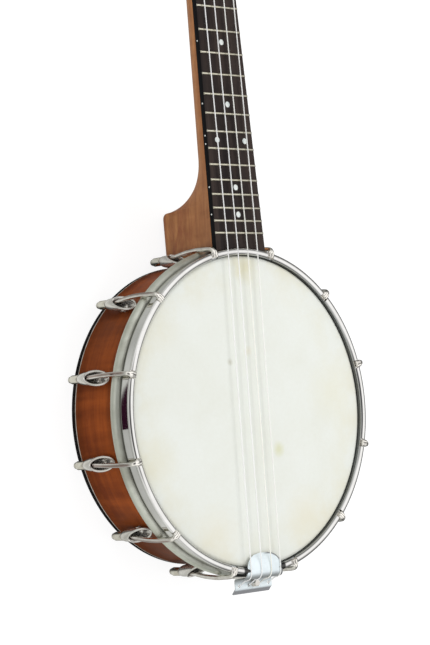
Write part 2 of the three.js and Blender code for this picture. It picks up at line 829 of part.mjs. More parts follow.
const ledgeBoltHole = ledgeBoltRadius + seatGap;
const ledgeBoltAt = tailWall + tailSheet / 2 + seatGap + ledgeBoltHead + seatGap;
const stringHole = ledgeBoltAt + stringHoleOffset;
function tailpieceGeometry() {
  const rings = tailpieceLine().map(({ y, z, outY, outZ }) => {
    const { halfWidth, camber } = tailpieceAcross(-y);
    const edge = (side) => Array.from({ length: tailAcrossSteps + 1 }, (unused, j) => {
      const share = (2 * j) / tailAcrossSteps - 1;
      const offset = (side * tailSheet) / 2;
      return [halfWidth * share * side, y + outY * offset, z + outZ * offset - camber * share ** 2];
    });
    return [...edge(1), ...edge(-1)].reverse();
  });
  const holeFrom = ledgeHeight - overrun;
  const holeTo = ledgeHeight + overrun;
  const stringHoles = stringXs.map((x) => (
    barAlongZ(stringRadius + 2 * seatGap, holeFrom, holeTo, smallSides).translate(x, -stringHole, 0)
  ));
  const boltHole = barAlongZ(ledgeBoltHole, holeFrom, holeTo, smallSides).translate(0, -ledgeBoltAt, 0);
  return cut(lofted(rings), [...stringHoles, boltHole]);
}
place('tailpiece', tailpieceGeometry(), 'nickel');

// Strap from the rim's tail end, out under the ring and up to the ledge
const strapFoot = -(rimOuterRadius + seatGap);
const strapOut = -(ringCrownRadius + seatGap);
const strapTop = ledgeHeight - tailSheet / 2 - seatGap;
const strapTurn = -dowelDepth + strapFootHeight / 2;
const strapEnd = -(ledgeEnd - strapThickness);
const strapOutline = [
  [strapFoot, -dowelDepth - strapFootHeight / 2],
  [strapFoot, strapTurn + strapThickness],
  [strapOut, strapTurn + strapThickness],
  [strapOut, strapTop],
  [strapEnd, strapTop],
  [strapEnd, strapTop - strapThickness],
  [strapOut - strapThickness, strapTop - strapThickness],
  [strapOut - strapThickness, strapTurn],
  [strapFoot - strapThickness, strapTurn],
  [strapFoot - strapThickness, -dowelDepth - strapFootHeight / 2],
];
const strapBoltHole = barAlongZ(
  ledgeBoltHole,
  strapTop - strapThickness - overrun,
  strapTop + overrun,
  smallSides,
);
strapBoltHole.translate(0, -ledgeBoltAt, 0);
const strapEndHole = barAlongY(
  boltRadius + seatGap,
  strapFoot - strapThickness - overrun,
  strapFoot + overrun,
  -dowelDepth,
  smallSides,
);
const strap = spreadAcross(strapOutline, 2 * strapHalfWidth);
place('tail_bracket', cut(strap, [strapBoltHole, strapEndHole]), 'nickel');

// Bolt down through the ledge and the strap, with its head on the ledge
const ledgeTop = ledgeHeight + tailSheet / 2 + seatGap;
const ledgeBoltEnd = strapTop - 2 * strapThickness;
place('tailpiece_bolt', joined([
  barAlongZ(ledgeBoltHead, ledgeTop, ledgeTop + boltHeadHeight, hexSides),
  barAlongZ(ledgeBoltRadius, ledgeBoltEnd, ledgeTop + boltHeadHeight / 2, smallSides),
]).translate(0, -ledgeBoltAt, 0), 'nickel');

// Bolt through the strap and the rim into the dowel
const endBoltHead = strapFoot - strapThickness - seatGap;
place('end_bolt', joined([
  barAlongY(boltHeadRadius, endBoltHead - boltHeadHeight, endBoltHead, -dowelDepth, hexSides),
  barAlongY(
    boltRadius,
    endBoltHead - boltHeadHeight / 2,
    dowelTailEnd + endBoltReach,
    -dowelDepth,
    smallSides,
  ),
]), 'nickel');

// Friction peg turned in one piece: shaft through the head, collar behind it and a flat button
function pegGeometry() {
  const backFace = headBack - seatGap;
  const collarEnd = backFace - pegCollarHeight;
  const neckEnd = collarEnd - pegNeckLength;
  const shaftTop = -headDrop + pegFrontLength;
  const waist = pegRadius - seatGap;
  const shaft = turned([
    [0, neckEnd - pegButtonThickness / 2],
    [waist, neckEnd - pegButtonThickness / 2],
    [waist, collarEnd - pegCollarHeight / 2],
    [pegCollarRadius, collarEnd],
    [pegCollarRadius, backFace],
    [pegRadius, backFace],
    [pegRadius, shaftTop - seatGap],
    [pegRadius - seatGap, shaftTop],
    [0, shaftTop],
  ], pegSides);
  const buttonEnd = neckEnd - pegButtonLength;
  const halfWide = pegButtonWidth / 2;
  const halfNeck = pegCollarRadius;
  const outline = new THREE.Shape();
  outline.moveTo(-halfNeck / 2, neckEnd);
  outline.quadraticCurveTo(-halfWide, neckEnd, -halfWide, (neckEnd + buttonEnd) / 2);
  outline.quadraticCurveTo(-halfWide, buttonEnd, 0, buttonEnd);
  outline.quadraticCurveTo(halfWide, buttonEnd, halfWide, (neckEnd + buttonEnd) / 2);
  outline.quadraticCurveTo(halfWide, neckEnd, halfNeck / 2, neckEnd);
  const points = outline.getPoints(headCurveSteps).map((point) => [point.x, point.y]);
  const button = spreadAcross(points, pegButtonThickness);
  const crossHole = new THREE.CylinderGeometry(
    pegHoleRadius,
    pegHoleRadius,
    2 * (pegRadius + overrun),
    smallSides,
  ).translate(0, 0, windingTop);
  return cut(joined([shaft, button]), [crossHole]);
}
const windingBottom = -headDrop + windingFromFace;
const windingTop = windingBottom + windingTurns * windingPitch;
const windingRadius = pegRadius + seatGap + stringRadius;
pegPlaces.forEach(([x, y], i) => {
  place(`peg_${i + 1}`, pegGeometry(), 'pegWood', headFrame).position.set(x, y, 0);
});

// String path: up through the ledge, over the tailpiece, along to the nut and round the peg, ending
// beside the peg's hole so that the peg turns freely inside the turns
const inPot = (x, y, z) => new THREE.Vector3(x, y, z);
const inNeck = (x, y, z) => new THREE.Vector3(x, y, z).applyMatrix4(neckFrame.matrixWorld);
const inHead = (x, y, z) => new THREE.Vector3(x, y, z).applyMatrix4(headFrame.matrixWorld);

function stringPoints(index) {
  const x = stringXs[index];
  const lift = tailSheet / 2 + seatGap + stringRadius;
  const onPlate = tailpieceLine().filter(({ y, z }) => y <= -crest && z >= wallTop).reverse();
  const points = [
    inPot(x, -stringHole, ledgeHeight - tailSheet - stringTailLength),
    inPot(x, -stringHole, ledgeHeight + tailSheet + stringRadius),
    ...onPlate.map(({ y, z, outY, outZ }) => {
      const { halfWidth, camber } = tailpieceAcross(-y);
      return inPot(x, y + outY * lift, z + outZ * lift - camber * (x / halfWidth) ** 2);
    }),
    inNeck(x, boardEndDistance, stringOverBoard),
    inNeck(x, nutDistance, stringOverNut),
    inNeck(x, headStart, stringOverNut),
  ];
  const [pegX, pegY] = pegPlaces[index];
  const side = Math.sign(pegX);
  const startAngle = side > 0 ? Math.PI : 0;
  for (let i = 0; i <= windingTurns * windingSteps; i += 1) {
    const turn = i / windingSteps;
    const angle = startAngle - side * turn * 2 * Math.PI;
    points.push(inHead(
      pegX + windingRadius * Math.cos(angle),
      pegY + windingRadius * Math.sin(angle),
      windingBottom + turn * windingPitch,
    ));
  }
  return points;
}

// Least free gap between the turns of one string, measured between its points
function leastSelfGap(points) {
  let least = Infinity;
  const apart = windingSteps / 3;
  for (let i = 0; i < points.length; i += 1) {
    for (let j = i + apart; j < points.length; j += 1) {
      least = Math.min(least, points[i].distanceTo(points[j]) - 2 * stringRadius);
    }
  }
  return least;
}

for (let i = 0; i < stringCount; i += 1) {
  const points = stringPoints(i);
  place(`string_${i + 1}`, tubeThrough(points, () => [stringRadius, stringRadius], stringSides), 'string');
  console.log(`string_${i + 1}: least gap to itself ${leastSelfGap(points).toFixed(2)} mm`);
}

export default instrument;
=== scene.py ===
import json
import math

import bmesh
import bpy
from mathutils import Matrix, Vector

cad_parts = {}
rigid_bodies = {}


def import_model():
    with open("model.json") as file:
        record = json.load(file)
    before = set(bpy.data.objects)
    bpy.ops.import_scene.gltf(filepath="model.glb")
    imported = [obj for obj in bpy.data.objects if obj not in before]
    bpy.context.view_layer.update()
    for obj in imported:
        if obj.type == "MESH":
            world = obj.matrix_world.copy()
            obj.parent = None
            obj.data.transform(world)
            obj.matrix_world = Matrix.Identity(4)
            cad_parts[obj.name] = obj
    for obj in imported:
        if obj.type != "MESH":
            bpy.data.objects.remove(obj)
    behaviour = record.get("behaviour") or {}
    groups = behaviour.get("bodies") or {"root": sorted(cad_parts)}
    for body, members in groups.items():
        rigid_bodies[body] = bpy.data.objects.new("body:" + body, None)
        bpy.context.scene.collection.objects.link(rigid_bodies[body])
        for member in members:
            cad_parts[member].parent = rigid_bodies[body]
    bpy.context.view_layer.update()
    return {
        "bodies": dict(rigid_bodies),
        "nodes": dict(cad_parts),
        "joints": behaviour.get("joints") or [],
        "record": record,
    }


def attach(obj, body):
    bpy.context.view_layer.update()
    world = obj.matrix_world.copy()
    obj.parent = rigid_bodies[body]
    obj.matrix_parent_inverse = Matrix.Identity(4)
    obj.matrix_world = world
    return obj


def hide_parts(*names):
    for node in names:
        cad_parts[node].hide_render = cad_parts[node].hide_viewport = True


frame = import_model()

# The view: from the left of the head and well in front of it, with the neck running up the picture.
# The instrument lies on its open back, so the floor fills the background.
scene = bpy.context.scene
to_right = Vector((0.73321, -0.06957, 0.67643))
to_top = Vector((0.02086, 0.99659, 0.07989))
view = bpy.data.objects.new("view", bpy.data.cameras.new("view"))
scene.collection.objects.link(view)
view.matrix_world = Matrix((to_right, to_top, to_right.cross(to_top))).transposed().to_4x4()
view.location = (-0.87923, -0.00349, 0.92143)
view.data.sensor_fit = "VERTICAL"
view.data.sensor_height = 36
view.data.lens = 120.84
scene.camera = view
scene.view_settings.view_transform = "Standard"

# Floor: a flat white sheet. Polished metal sees it as grey, with a painted shadow under the pot, darker
# to the right, and a narrow dark card painted on it beside the pot, for reflections only, that makes
# the dark streak in the hoop's band.
mm = 0.001


def wire(tree, kind, inputs=None, **settings):
    """A shader node with its settings; each input is a value or the socket that feeds it."""
    part = tree.nodes.new("ShaderNode" + kind)
    for name, value in settings.items():
        setattr(part, name, value)
    for name, value in (inputs or {}).items():
        if isinstance(value, bpy.types.NodeSocket):
            tree.links.new(value, part.inputs[name])
        else:
            part.inputs[name].default_value = value
    return part


def reckoned(tree, operation, first, second=0.0):
    return wire(tree, "Math", {0: first, 1: second}, operation=operation).outputs[0]


def plus(tree, first, second):
    return reckoned(tree, "ADD", first, second)


def times(tree, first, *factors):
    for factor in factors:
        first = reckoned(tree, "MULTIPLY", first, factor)
    return first


def largest(tree, first, *others):
    for other in others:
        first = reckoned(tree, "MAXIMUM", first, other)
    return first


def stretched(tree, value, low, high, start=0.0, end=1.0):
    """A value mapped from low..high to start..end and held there."""
    inputs = {"Value": value, "From Min": low, "From Max": high, "To Min": start, "To Max": end}
    return wire(tree, "MapRange", inputs).outputs[0]


def band(tree, value, low, high, soft):
    """1 between low and high and 0 outside, with soft ends."""
    rise = stretched(tree, value, low - soft, low + soft)
    fall = stretched(tree, value, high - soft, high + soft, 1.0, 0.0)
    return times(tree, rise, fall)


def blended(tree, share, first, second):
    """Two colours mixed. A colour mix has its share in socket 0 and its colours in 6 and 7."""
    inputs = {0: share}
    for index, colour in ((6, first), (7, second)):
        inputs[index] = colour if isinstance(colour, bpy.types.NodeSocket) else (*colour, 1)
    return wire(tree, "Mix", inputs, data_type="RGBA").outputs[2]


def measured(tree, operation, first, second=(0, 0, 0)):
    """The length of a vector, or the distance or the dot product of two."""
    return wire(tree, "VectorMath", {0: first, 1: second}, operation=operation).outputs[1]


def own_place(tree):
    return wire(tree, "TexCoord").outputs["Object"]


def parts_of(tree, vector):
    return wire(tree, "SeparateXYZ", {0: vector}).outputs


def noise(tree, vector, scale, detail=4.0, rough=0.55, swirl=0.0):
    """Cloudy noise from 0 to 1; a scale in three parts draws it out along the smallest."""
    if isinstance(scale, tuple):
        vector = wire(tree, "VectorMath", {0: vector, 1: scale}, operation="MULTIPLY").outputs[0]
        scale = 1.0
    inputs = {"Vector": vector, "Scale": scale, "Detail": detail, "Roughness": rough, "Distortion": swirl}
    return wire(tree, "TexNoise", inputs).outputs[0]


def emptied(owner):
    owner.use_nodes = True
    owner.node_tree.nodes.clear()
    return owner.node_tree


def new_look(name):
    look = bpy.data.materials.new(name)
    return look, emptied(look)


def oblong(left, right, low, high):
    return [(left, low), (right, low), (right, high), (left, high)]


floor_height = -56.5 * mm
floor_reach = 9.0
under_pot, near_pot, past_pot = 0.093, 0.107, 0.116
white_light = (1, 1, 1, 1)
floor_mesh = bpy.data.meshes.new("floor")
floor_corners = [(x, y, floor_height)
                 for x, y in oblong(-floor_reach, floor_reach, -floor_reach, floor_reach)]
floor_mesh.from_pydata(floor_corners, [], [(0, 1, 2, 3)])
floor = bpy.data.objects.new("floor", floor_mesh)
scene.collection.objects.link(floor)
white_floor, tree = new_look("white_floor")
floor_mesh.materials.append(white_floor)
rays = wire(tree, "LightPath").outputs
place = own_place(tree)
part = parts_of(tree, place)
away = measured(tree, "DISTANCE", place, (0, 0, floor_height))
# Painted reflections only: a dark card beside the pot, and a painted shadow under it.
card = times(tree, band(tree, part["X"], -0.1435, -0.1345, 0.0012),
             band(tree, part["Y"], -0.0115, 0.052, 0.0004))
grey = times(tree, stretched(tree, noise(tree, place, 9, 2, 0.5), 0.35, 0.65, 0.42, 0.6),
             stretched(tree, away, near_pot, past_pot, 1.35, 0.95),
             stretched(tree, away, under_pot, under_pot + 0.006, 0.1, 1.0),
             stretched(tree, part["X"], 0.0, 0.12, 1.0, 0.2),
             stretched(tree, part["Y"], -0.075, -0.11, 1.0, 1.35))
grey = plus(tree, grey, stretched(tree, away, 0.3, 1.2, 0.0, 0.25))
in_metal = blended(tree, card, (0.98, 1, 0.96), (0.05, 0.012, 0.03))
mirrored = wire(tree, "Emission", {"Color": in_metal, "Strength": grey})
lit = wire(tree, "BsdfDiffuse", {"Color": (0.86, 0.86, 0.86, 1)})
glow = wire(tree, "Emission", {"Color": white_light, "Strength": 0.86})
soft = wire(tree, "BsdfDiffuse", {"Color": (0.25, 0.25, 0.25, 1)})
seen = wire(tree, "AddShader", {0: glow.outputs[0], 1: soft.outputs[0]})
plain = wire(tree, "MixShader", {0: rays["Is Glossy Ray"], 1: lit.outputs[0], 2: mirrored.outputs[0]})
both = wire(tree, "MixShader", {0: rays["Is Camera Ray"], 1: plain.outputs[0], 2: seen.outputs[0]})
wire(tree, "OutputMaterial", {"Surface": both.outputs[0]})

# Surround: plain white for light and for the picture. In polish it is seen as a studio is: white
# overhead and to the right, with a broad black card above and to the left of the head.
card_side = Vector((-0.68, -0.04, 0.73))
overhead_white, even_light = 1.07, 0.78
scene.world = bpy.data.worlds.new("surround")
tree = emptied(scene.world)
rays = wire(tree, "LightPath").outputs
facing = wire(tree, "TexCoord").outputs["Generated"]
part = parts_of(tree, facing)
card = measured(tree, "DOT_PRODUCT", facing, card_side)
horizon = stretched(tree, part["X"], -0.4, 0.4, 0.8, 0.16)
overhead = stretched(tree, part["Z"], 0.38, 0.74)
below = times(tree, reckoned(tree, "SUBTRACT", 1.0, overhead), horizon)
polish = plus(tree, times(tree, overhead, overhead_white), below)
polish = times(tree, polish, stretched(tree, card, 0.78, 0.95, 1.0, 0.1), rays["Is Glossy Ray"])
looked_at = largest(tree, rays["Is Glossy Ray"], rays["Is Camera Ray"])
as_light = times(tree, reckoned(tree, "SUBTRACT", 1.0, looked_at), even_light)
level = plus(tree, polish, plus(tree, rays["Is Camera Ray"], as_light))
back = wire(tree, "Background", {"Color": white_light, "Strength": level})
wire(tree, "OutputWorld", {"Surface": back.outputs[0]})

# Lamps: a broad one from the right and above, which lays the strings' soft shadows to their left, and a
# weak one low on the left for the wood of the pot. Neither is seen in the metal.
lamps = (
    ("lamp_right", (0.95, 0.3, 1.15), 0.85, 8.5),
    ("lamp_left", (-1.4, -0.5, 0.35), 0.9, 3.0),
)
for name, stand, width, power in lamps:
    lamp = bpy.data.objects.new(name, bpy.data.lights.new(name, "AREA"))
    scene.collection.objects.link(lamp)
    lamp.data.size = width
    lamp.data.energy = power
    lamp.location = stand
    lamp.rotation_euler = Vector(stand).to_track_quat("Z", "Y").to_euler()
    lamp.visible_glossy = False


# Wood figure, shared by the rim, the neck, the dowel, the board and the pegs. Along is a place whose X
# runs with the grain: long streaks, broad bands, a cross mottle and short dark pores.
def new_group(name, inputs):
    """A group of shader nodes that puts out a colour, a roughness and a height."""
    group = bpy.data.node_groups.new(name, "ShaderNodeTree")
    for label, kind, value in inputs:
        socket = group.interface.new_socket(label, in_out="INPUT", socket_type="NodeSocket" + kind)
        socket.default_value = value
    for label, kind in (("Colour", "Color"), ("Roughness", "Float"), ("Height", "Float")):
        group.interface.new_socket(label, in_out="OUTPUT", socket_type="NodeSocket" + kind)
    return group, group.nodes.new("NodeGroupInput").outputs


def give_out(group, colour, roughness, height):
    leave = group.nodes.new("NodeGroupOutput").inputs
    for label, value in (("Colour", colour), ("Roughness", roughness), ("Height", height)):
        group.links.new(value, leave[label])


def shaded(tree, inputs, height=None, depth=0.0, strength=1.0):
    """The surface itself: its shader's inputs, and a height pressed into it to a depth in mm."""
    shader = wire(tree, "BsdfPrincipled", inputs)
    wire(tree, "OutputMaterial", {"Surface": shader.outputs[0]})
    if height is not None:
        bump = wire(tree, "Bump", {"Height": height, "Distance": depth * mm, "Strength": strength})
        tree.links.new(bump.outputs[0], shader.inputs["Normal"])


def grouped_look(name, group, along, values, tint, depth, strength, own):
    look, tree = new_look(name)
    figure = wire(tree, "Group", {"Along": along(tree), **values}, node_tree=group).outputs
    colour = tint(tree, figure["Colour"]) if tint else figure["Colour"]
    shaded(tree, {"Base Color": colour, "Roughness": figure["Roughness"], **own},
           figure["Height"], depth, strength)
    return look


wood_figure, given = new_group("wood figure", [
    ("Along", "Vector", (0, 0, 0)), ("Light", "Color", (0.5, 0.3, 0.2, 1)),
    ("Dark", "Color", (0.2, 0.1, 0.05, 1)), ("Streaks", "Float", 0.5), ("Mottle", "Float", 0.3),
    ("Pores", "Float", 0.4), ("Gloss low", "Float", 0.3), ("Gloss high", "Float", 0.45),
])
tree = wood_figure
streaks = noise(tree, given["Along"], (9, 190, 190), 7, 0.62, 0.5)
bands = noise(tree, given["Along"], (3, 34, 34), 3, 0.5, 0.8)
mottle = noise(tree, given["Along"], (110, 16, 30), 3, 0.55, 0.3)
pores = stretched(tree, noise(tree, given["Along"], (90, 1700, 1700), 2, 0.5), 0.57, 0.66)
pored = times(tree, pores, given["Pores"])
share = times(tree, stretched(tree, streaks, 0.3, 0.7, -0.5, 0.5), given["Streaks"])
share = plus(tree, share, stretched(tree, bands, 0.3, 0.7, 0.15, 0.85))
share = plus(tree, share, times(tree, stretched(tree, mottle, 0.3, 0.7, -0.5, 0.5), given["Mottle"]))
colour = blended(tree, share, given["Dark"], given["Light"])
give_out(tree, blended(tree, pored, colour, given["Dark"]),
         stretched(tree, streaks, 0.3, 0.7, given["Gloss low"], given["Gloss high"]),
         reckoned(tree, "SUBTRACT", times(tree, streaks, 0.4), pored))


def wooden(name, along, *, light, dark, streaks, mottle, pores, low, high, gleam, tint=None):
    """A varnished or oiled wood; low and high are its roughness in dark and light streaks."""
    values = {"Light": (*light, 1), "Dark": (*dark, 1), "Streaks": streaks, "Mottle": mottle,
              "Pores": pores, "Gloss low": low, "Gloss high": high}
    return grouped_look(name, wood_figure, along, values, tint, 0.05, 0.5, {"Specular IOR Level": gleam})


# Pot rim: bent mahogany, turned down at the top for the bearing edge, rebated at the back for the
# black edge, varnished red-brown. Holes take the dowel stick, the end bolt and the shoe bolts.
def bend(start, middle, end, steps=10):
    """Points on a smooth bend that leaves start towards the middle; the end itself isn't among them."""
    a, b, c = Vector(start), Vector(middle), Vector(end)
    return [a * (1 - t) ** 2 + b * 2 * t * (1 - t) + c * t ** 2 for t in (k / steps for k in range(steps))]


def eased(corners, reaches):
    """The outline with its corners rounded, each from its own reach before it to as far past it."""
    outline = []
    for i, reach in enumerate(reaches):
        middle = Vector(corners[i])
        if not reach:
            outline.append(middle)
            continue
        before = Vector(corners[i - 1])
        after = Vector(corners[(i + 1) % len(corners)])
        start = middle + (before - middle).normalized() * reach
        end = middle + (after - middle).normalized() * reach
        outline += [*bend(start, middle, end, 4), end]
    return outline


def smoothed(mesh, sharp=35):
    shape = bmesh.new()
    shape.from_mesh(mesh)
    bmesh.ops.remove_doubles(shape, verts=shape.verts, dist=1e-7)
    bmesh.ops.dissolve_degenerate(shape, dist=1e-7, edges=shape.edges)
    bmesh.ops.recalc_face_normals(shape, faces=shape.faces)
    shape.to_mesh(mesh)
    shape.free()
    mesh.shade_smooth()
    mesh.set_sharp_from_angle(angle=math.radians(sharp))
    return mesh


def made(name, points, faces, sharp=35):
    mesh = bpy.data.meshes.new(name)
    mesh.from_pydata([Vector(p) * mm for p in points], [], faces)
    return smoothed(mesh, sharp)


def round_steps(count):
    return [2 * math.pi * i / count for i in range(count)]


def spun(name, outline, turns=240, sharp=35):
    """A turned shape: the outline of (radius, height) points, carried once round."""
    points, rows = [], []
    for radius, height in outline:
        around = round_steps(turns) if radius else [0.0]
        rows.append(range(len(points), len(points) + len(around)))
        points += [(radius * math.sin(angle), radius * math.cos(angle), height) for angle in around]
    pairs = list(zip(rows, rows[1:]))
    if len(rows[0]) > 1:
        pairs.append((rows[-1], rows[0]))
    faces = []
    for low, high in pairs:
        for i in range(turns):
            j = (i + 1) % turns
            face = [low[i % len(low)], low[j % len(low)], high[j % len(high)], high[i % len(high)]]
            face = list(dict.fromkeys(face))
            if len(face) > 2:
                faces.append(face)
    return made(name, points, faces, sharp)


def skinned(name, rings, sharp=35):
    """A closed skin over a row of rings, with a face across each end."""
    count = len(rings[0])
    points = [point for ring in rings for point in ring]
    faces = []
    for i in range(len(rings) - 1):
        for j in range(count):
            n = (j + 1) % count
            faces.append((i * count + j, i * count + n, (i + 1) * count + n, (i + 1) * count + j))
    faces.append(tuple(range(count))[::-1])
    faces.append(tuple(range((len(rings) - 1) * count, len(rings) * count)))
    return made(name, points, faces, sharp)


def block(name, low, high):
    corners = oblong(low[0], high[0], low[1], high[1])
    return skinned(name, [[(x, y, z) for x, y in corners] for z in (low[2], high[2])], 30)


def round_room(radius, low, high):
    return spun("room", oblong(0, radius, low, high))


def rod(name, radius, start, end, sides=24, steps=((1, 0), (1, 1)), sharp=35):
    """A straight rod; steps give its (share of the radius, share of the way) from start to end."""
    start, end = Vector(start), Vector(end)
    turn = (end - start).to_track_quat("Z", "Y")
    rings = []
    for share, way in steps:
        centre = start.lerp(end, way)
        rings.append([centre + turn @ Vector((radius * share * math.cos(a), radius * share * math.sin(a), 0))
                      for a in round_steps(sides)])
    return skinned(name, rings, sharp)


def shaped(mesh, steps, sharp=35):
    """The mesh with modifiers applied; steps are (kind, settings) pairs."""
    holder = bpy.data.objects.new("work", mesh)
    scene.collection.objects.link(holder)
    helpers = []
    for kind, settings in steps:
        change = holder.modifiers.new(kind.lower(), kind)
        for name, value in settings.items():
            if isinstance(value, bpy.types.Mesh):
                value = bpy.data.objects.new("helper", value)
                scene.collection.objects.link(value)
                helpers.append(value)
            setattr(change, name, value)
    result = bpy.data.meshes.new_from_object(holder.evaluated_get(bpy.context.evaluated_depsgraph_get()))
    for extra in (holder, *helpers):
        bpy.data.objects.remove(extra)
    result.name = mesh.name
    return smoothed(result, sharp)


def carved(mesh, cutters, sharp=35, way="DIFFERENCE"):
    return shaped(mesh, [("BOOLEAN", {"object": cutter, "operation": way, "solver": "EXACT"})
                         for cutter in cutters], sharp)


def turned(mesh, station):
    copy = mesh.copy()
    copy.transform(Matrix.Rotation(-math.radians(station), 4, "Z"))
    return copy


def fitted(name, mesh, look, nodes, body="instrument"):
    piece = bpy.data.objects.new(name, mesh)
    scene.collection.objects.link(piece)
    mesh.materials.clear()
    mesh.materials.append(look)
    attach(piece, body)
    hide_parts(*nodes)


def flattened(tree, part):
    return wire(tree, "CombineXYZ", {0: part["X"], 1: part["Y"]}).outputs[0]


def from_axis(tree, part):
    return measured(tree, "LENGTH", flattened(tree, part))


def round_the_pot(tree):
    part = parts_of(tree, own_place(tree))
    run = times(tree, reckoned(tree, "ARCTAN2", part["X"], part["Y"]), pot_radius)
    return wire(tree, "CombineXYZ", {0: run, 1: part["Z"], 2: from_axis(tree, part)}).outputs[0]


# Painted shade on the rim: darker just under the tone ring, near the back edge, at the tail end and towards
# the neck end.
def painted_shade_at_the_edges(tree, colour):
    part = parts_of(tree, own_place(tree))
    near_ring = stretched(tree, part["Z"], -0.027, -0.013, 0.0, 0.85)
    near_back = stretched(tree, part["Z"], -0.044, -0.055, 0.0, 0.55)
    low_end = stretched(tree, part["Y"], -0.048, -0.068, 0.0, 0.6)
    high_end = times(tree, band(tree, part["Y"], 0.04, 0.068, 0.012), 0.42)
    shade = largest(tree, near_ring, near_back, low_end, high_end)
    return blended(tree, shade, colour, (0.05, 0.018, 0.008))


pot_radius = 0.09
rim_outer, rim_inner = 89.8, 81.8
rim_back, rim_top = -56.4, -0.8
bearing, bearing_foot = 88.4, -6.6
rebate, rebate_top = 87.1, -53.2
rim_outline = eased([
    (rim_inner, rim_back), (rebate, rim_back), (rebate, rebate_top), (rim_outer, rebate_top),
    (rim_outer, bearing_foot), (bearing, bearing_foot), (bearing, rim_top), (rim_inner, rim_top),
], [0.6, 0.2, 0.1, 0.3, 0.5, 0.1, 1.4, 0.8])
hook_axis, shoe_middle = 95.4, -32.5
hook_count, beside_the_neck = 12, 23.079
stations = [(i + 0.5) * 360 / hook_count for i in range(hook_count)]
stations[0] = math.degrees(math.asin(beside_the_neck / hook_axis))
stations[-1] = 360 - stations[0]
dowel_half, dowel_depth, dowel_gap = 7.5, -29.0, 0.3
bolt_hole = 2.3


def dowel_room(gap, near, far, name="room"):
    half = dowel_half + gap
    return block(name, (-half, near, dowel_depth - half), (half, far, dowel_depth + half))


shoe_hole = rod("hole", bolt_hole, (0, 78, shoe_middle), (0, 92, shoe_middle))
rim_holes = [turned(shoe_hole, station) for station in stations]
rim_holes.append(rod("hole", bolt_hole, (0, -92, dowel_depth), (0, -78, dowel_depth)))
rim_holes.append(dowel_room(dowel_gap, 60, 92))
rim_mesh = carved(spun("pot_rim_wood", rim_outline), rim_holes)
mahogany = wooden("mahogany", round_the_pot, light=(0.37, 0.088, 0.018), dark=(0.16, 0.034, 0.009),
                  streaks=0.5, mottle=0.6, pores=0.4, low=0.3, high=0.42, gleam=0.04,
                  tint=painted_shade_at_the_edges)
fitted("pot_rim_wood", rim_mesh, mahogany, ["pot_rim"])

# White line: a thin strip of pale veneer between the wood and the black edge, glued into the same
# rebate and scraped almost flush, now greyed by handling.
line_outline = oblong(rim_outer - 0.5, rim_outer + 0.03, -53.0, -52.4)
white_veneer, tree = new_look("white_veneer")
flecks = stretched(tree, noise(tree, own_place(tree), 220, 5), 0.35, 0.7)
shaded(tree, {"Base Color": blended(tree, flecks, (0.6, 0.56, 0.5), (0.36, 0.32, 0.27)),
              "Roughness": 0.6, "Specular IOR Level": 0.05})
fitted("rim_line", spun("rim_line", line_outline), white_veneer, ["pot_rim"])

# Black edge round the back of the rim: a bent strip of stained wood, glued into its rebate and
# polished, with rubbed corners.
edge_in, edge_top = 87.4, -53.25
edge_outline = eased(oblong(edge_in, rim_outer, rim_back, edge_top), [0.1, 0.8, 0.15, 0.1])
black_edge, tree = new_look("black_edge")
place = own_place(tree)
rub = stretched(tree, noise(tree, place, 160, 6, 0.65), 0.5, 0.75)
shaded(tree, {"Base Color": blended(tree, rub, (0.01, 0.009, 0.009), (0.045, 0.038, 0.034)),
              "Roughness": stretched(tree, rub, 0.0, 1.0, 0.22, 0.5), "Specular IOR Level": 0.05},
       noise(tree, place, 900), 0.02, 0.4)
fitted("rim_edge", spun("rim_edge", edge_outline), black_edge, ["rim_binding"])

# Worn plate, shared by every nickel part: patches where the shine has gone dull and yellowish, fine
# pits, and hairline scratches that run along the given direction.
worn_plate, given = new_group("worn plate", [
    ("Along", "Vector", (0, 0, 0)), ("Metal", "Color", (0.7, 0.7, 0.66, 1)),
    ("Tarnish", "Color", (0.4, 0.38, 0.3, 1)), ("Dullness", "Float", 0.4), ("Patches", "Float", 60.0),
    ("Polish", "Float", 0.1), ("Worn", "Float", 0.3),
])
tree = worn_plate
patches = noise(tree, given["Along"], given["Patches"], 6, 0.62, 0.4)
patches = times(tree, stretched(tree, patches, 0.42, 0.7), given["Dullness"])
pits = stretched(tree, noise(tree, given["Along"], 1500, 3), 0.64, 0.74)
hairs = noise(tree, given["Along"], (60, 2600, 2600), 3)
colour = blended(tree, patches, given["Metal"], given["Tarnish"])
wear = plus(tree, patches, times(tree, pits, 0.4))
give_out(tree, blended(tree, times(tree, pits, 0.5), colour, given["Tarnish"]),
         stretched(tree, wear, 0.0, 1.0, given["Polish"], given["Worn"]),
         reckoned(tree, "SUBTRACT", times(tree, hairs, 0.25), pits))


def plated(name, along=own_place, *, metal, tarnish, dullness, patches, polish, worn, pressed=0.25,
           tint=None, metallic=1.0, painted_edge_shade=0.0):
    """A plated finish; its last argument paints dark brown shade where the surface turns from the view."""
    def tinted(tree, colour):
        if tint:
            colour = tint(tree, colour)
        if painted_edge_shade:
            # painted shade at the outline, where the surface turns away from the view
            turned_away = wire(tree, "LayerWeight", {"Blend": 0.5}).outputs["Facing"]
            share = stretched(tree, turned_away, 0.5, 0.95, 0.0, painted_edge_shade)
            colour = blended(tree, share, colour, (0.08, 0.05, 0.042))
        return colour

    values = {"Metal": (*metal, 1), "Tarnish": (*tarnish, 1), "Dullness": dullness, "Patches": patches,
              "Polish": polish, "Worn": worn}
    return grouped_look(name, worn_plate, along, values, tinted, 0.01, pressed, {"Metallic": metallic})


# Tone ring: a rounded ring spun from thin sheet, nickel plated and now dull, standing on the rim's
# outside right under the hoop. Its back is open towards the wood.
ring_foot, ring_centre, ring_middle = 90.15, 93.8, -11.0
ring_reach, ring_half, ring_sheet = 3.4, 3.7, 1.2


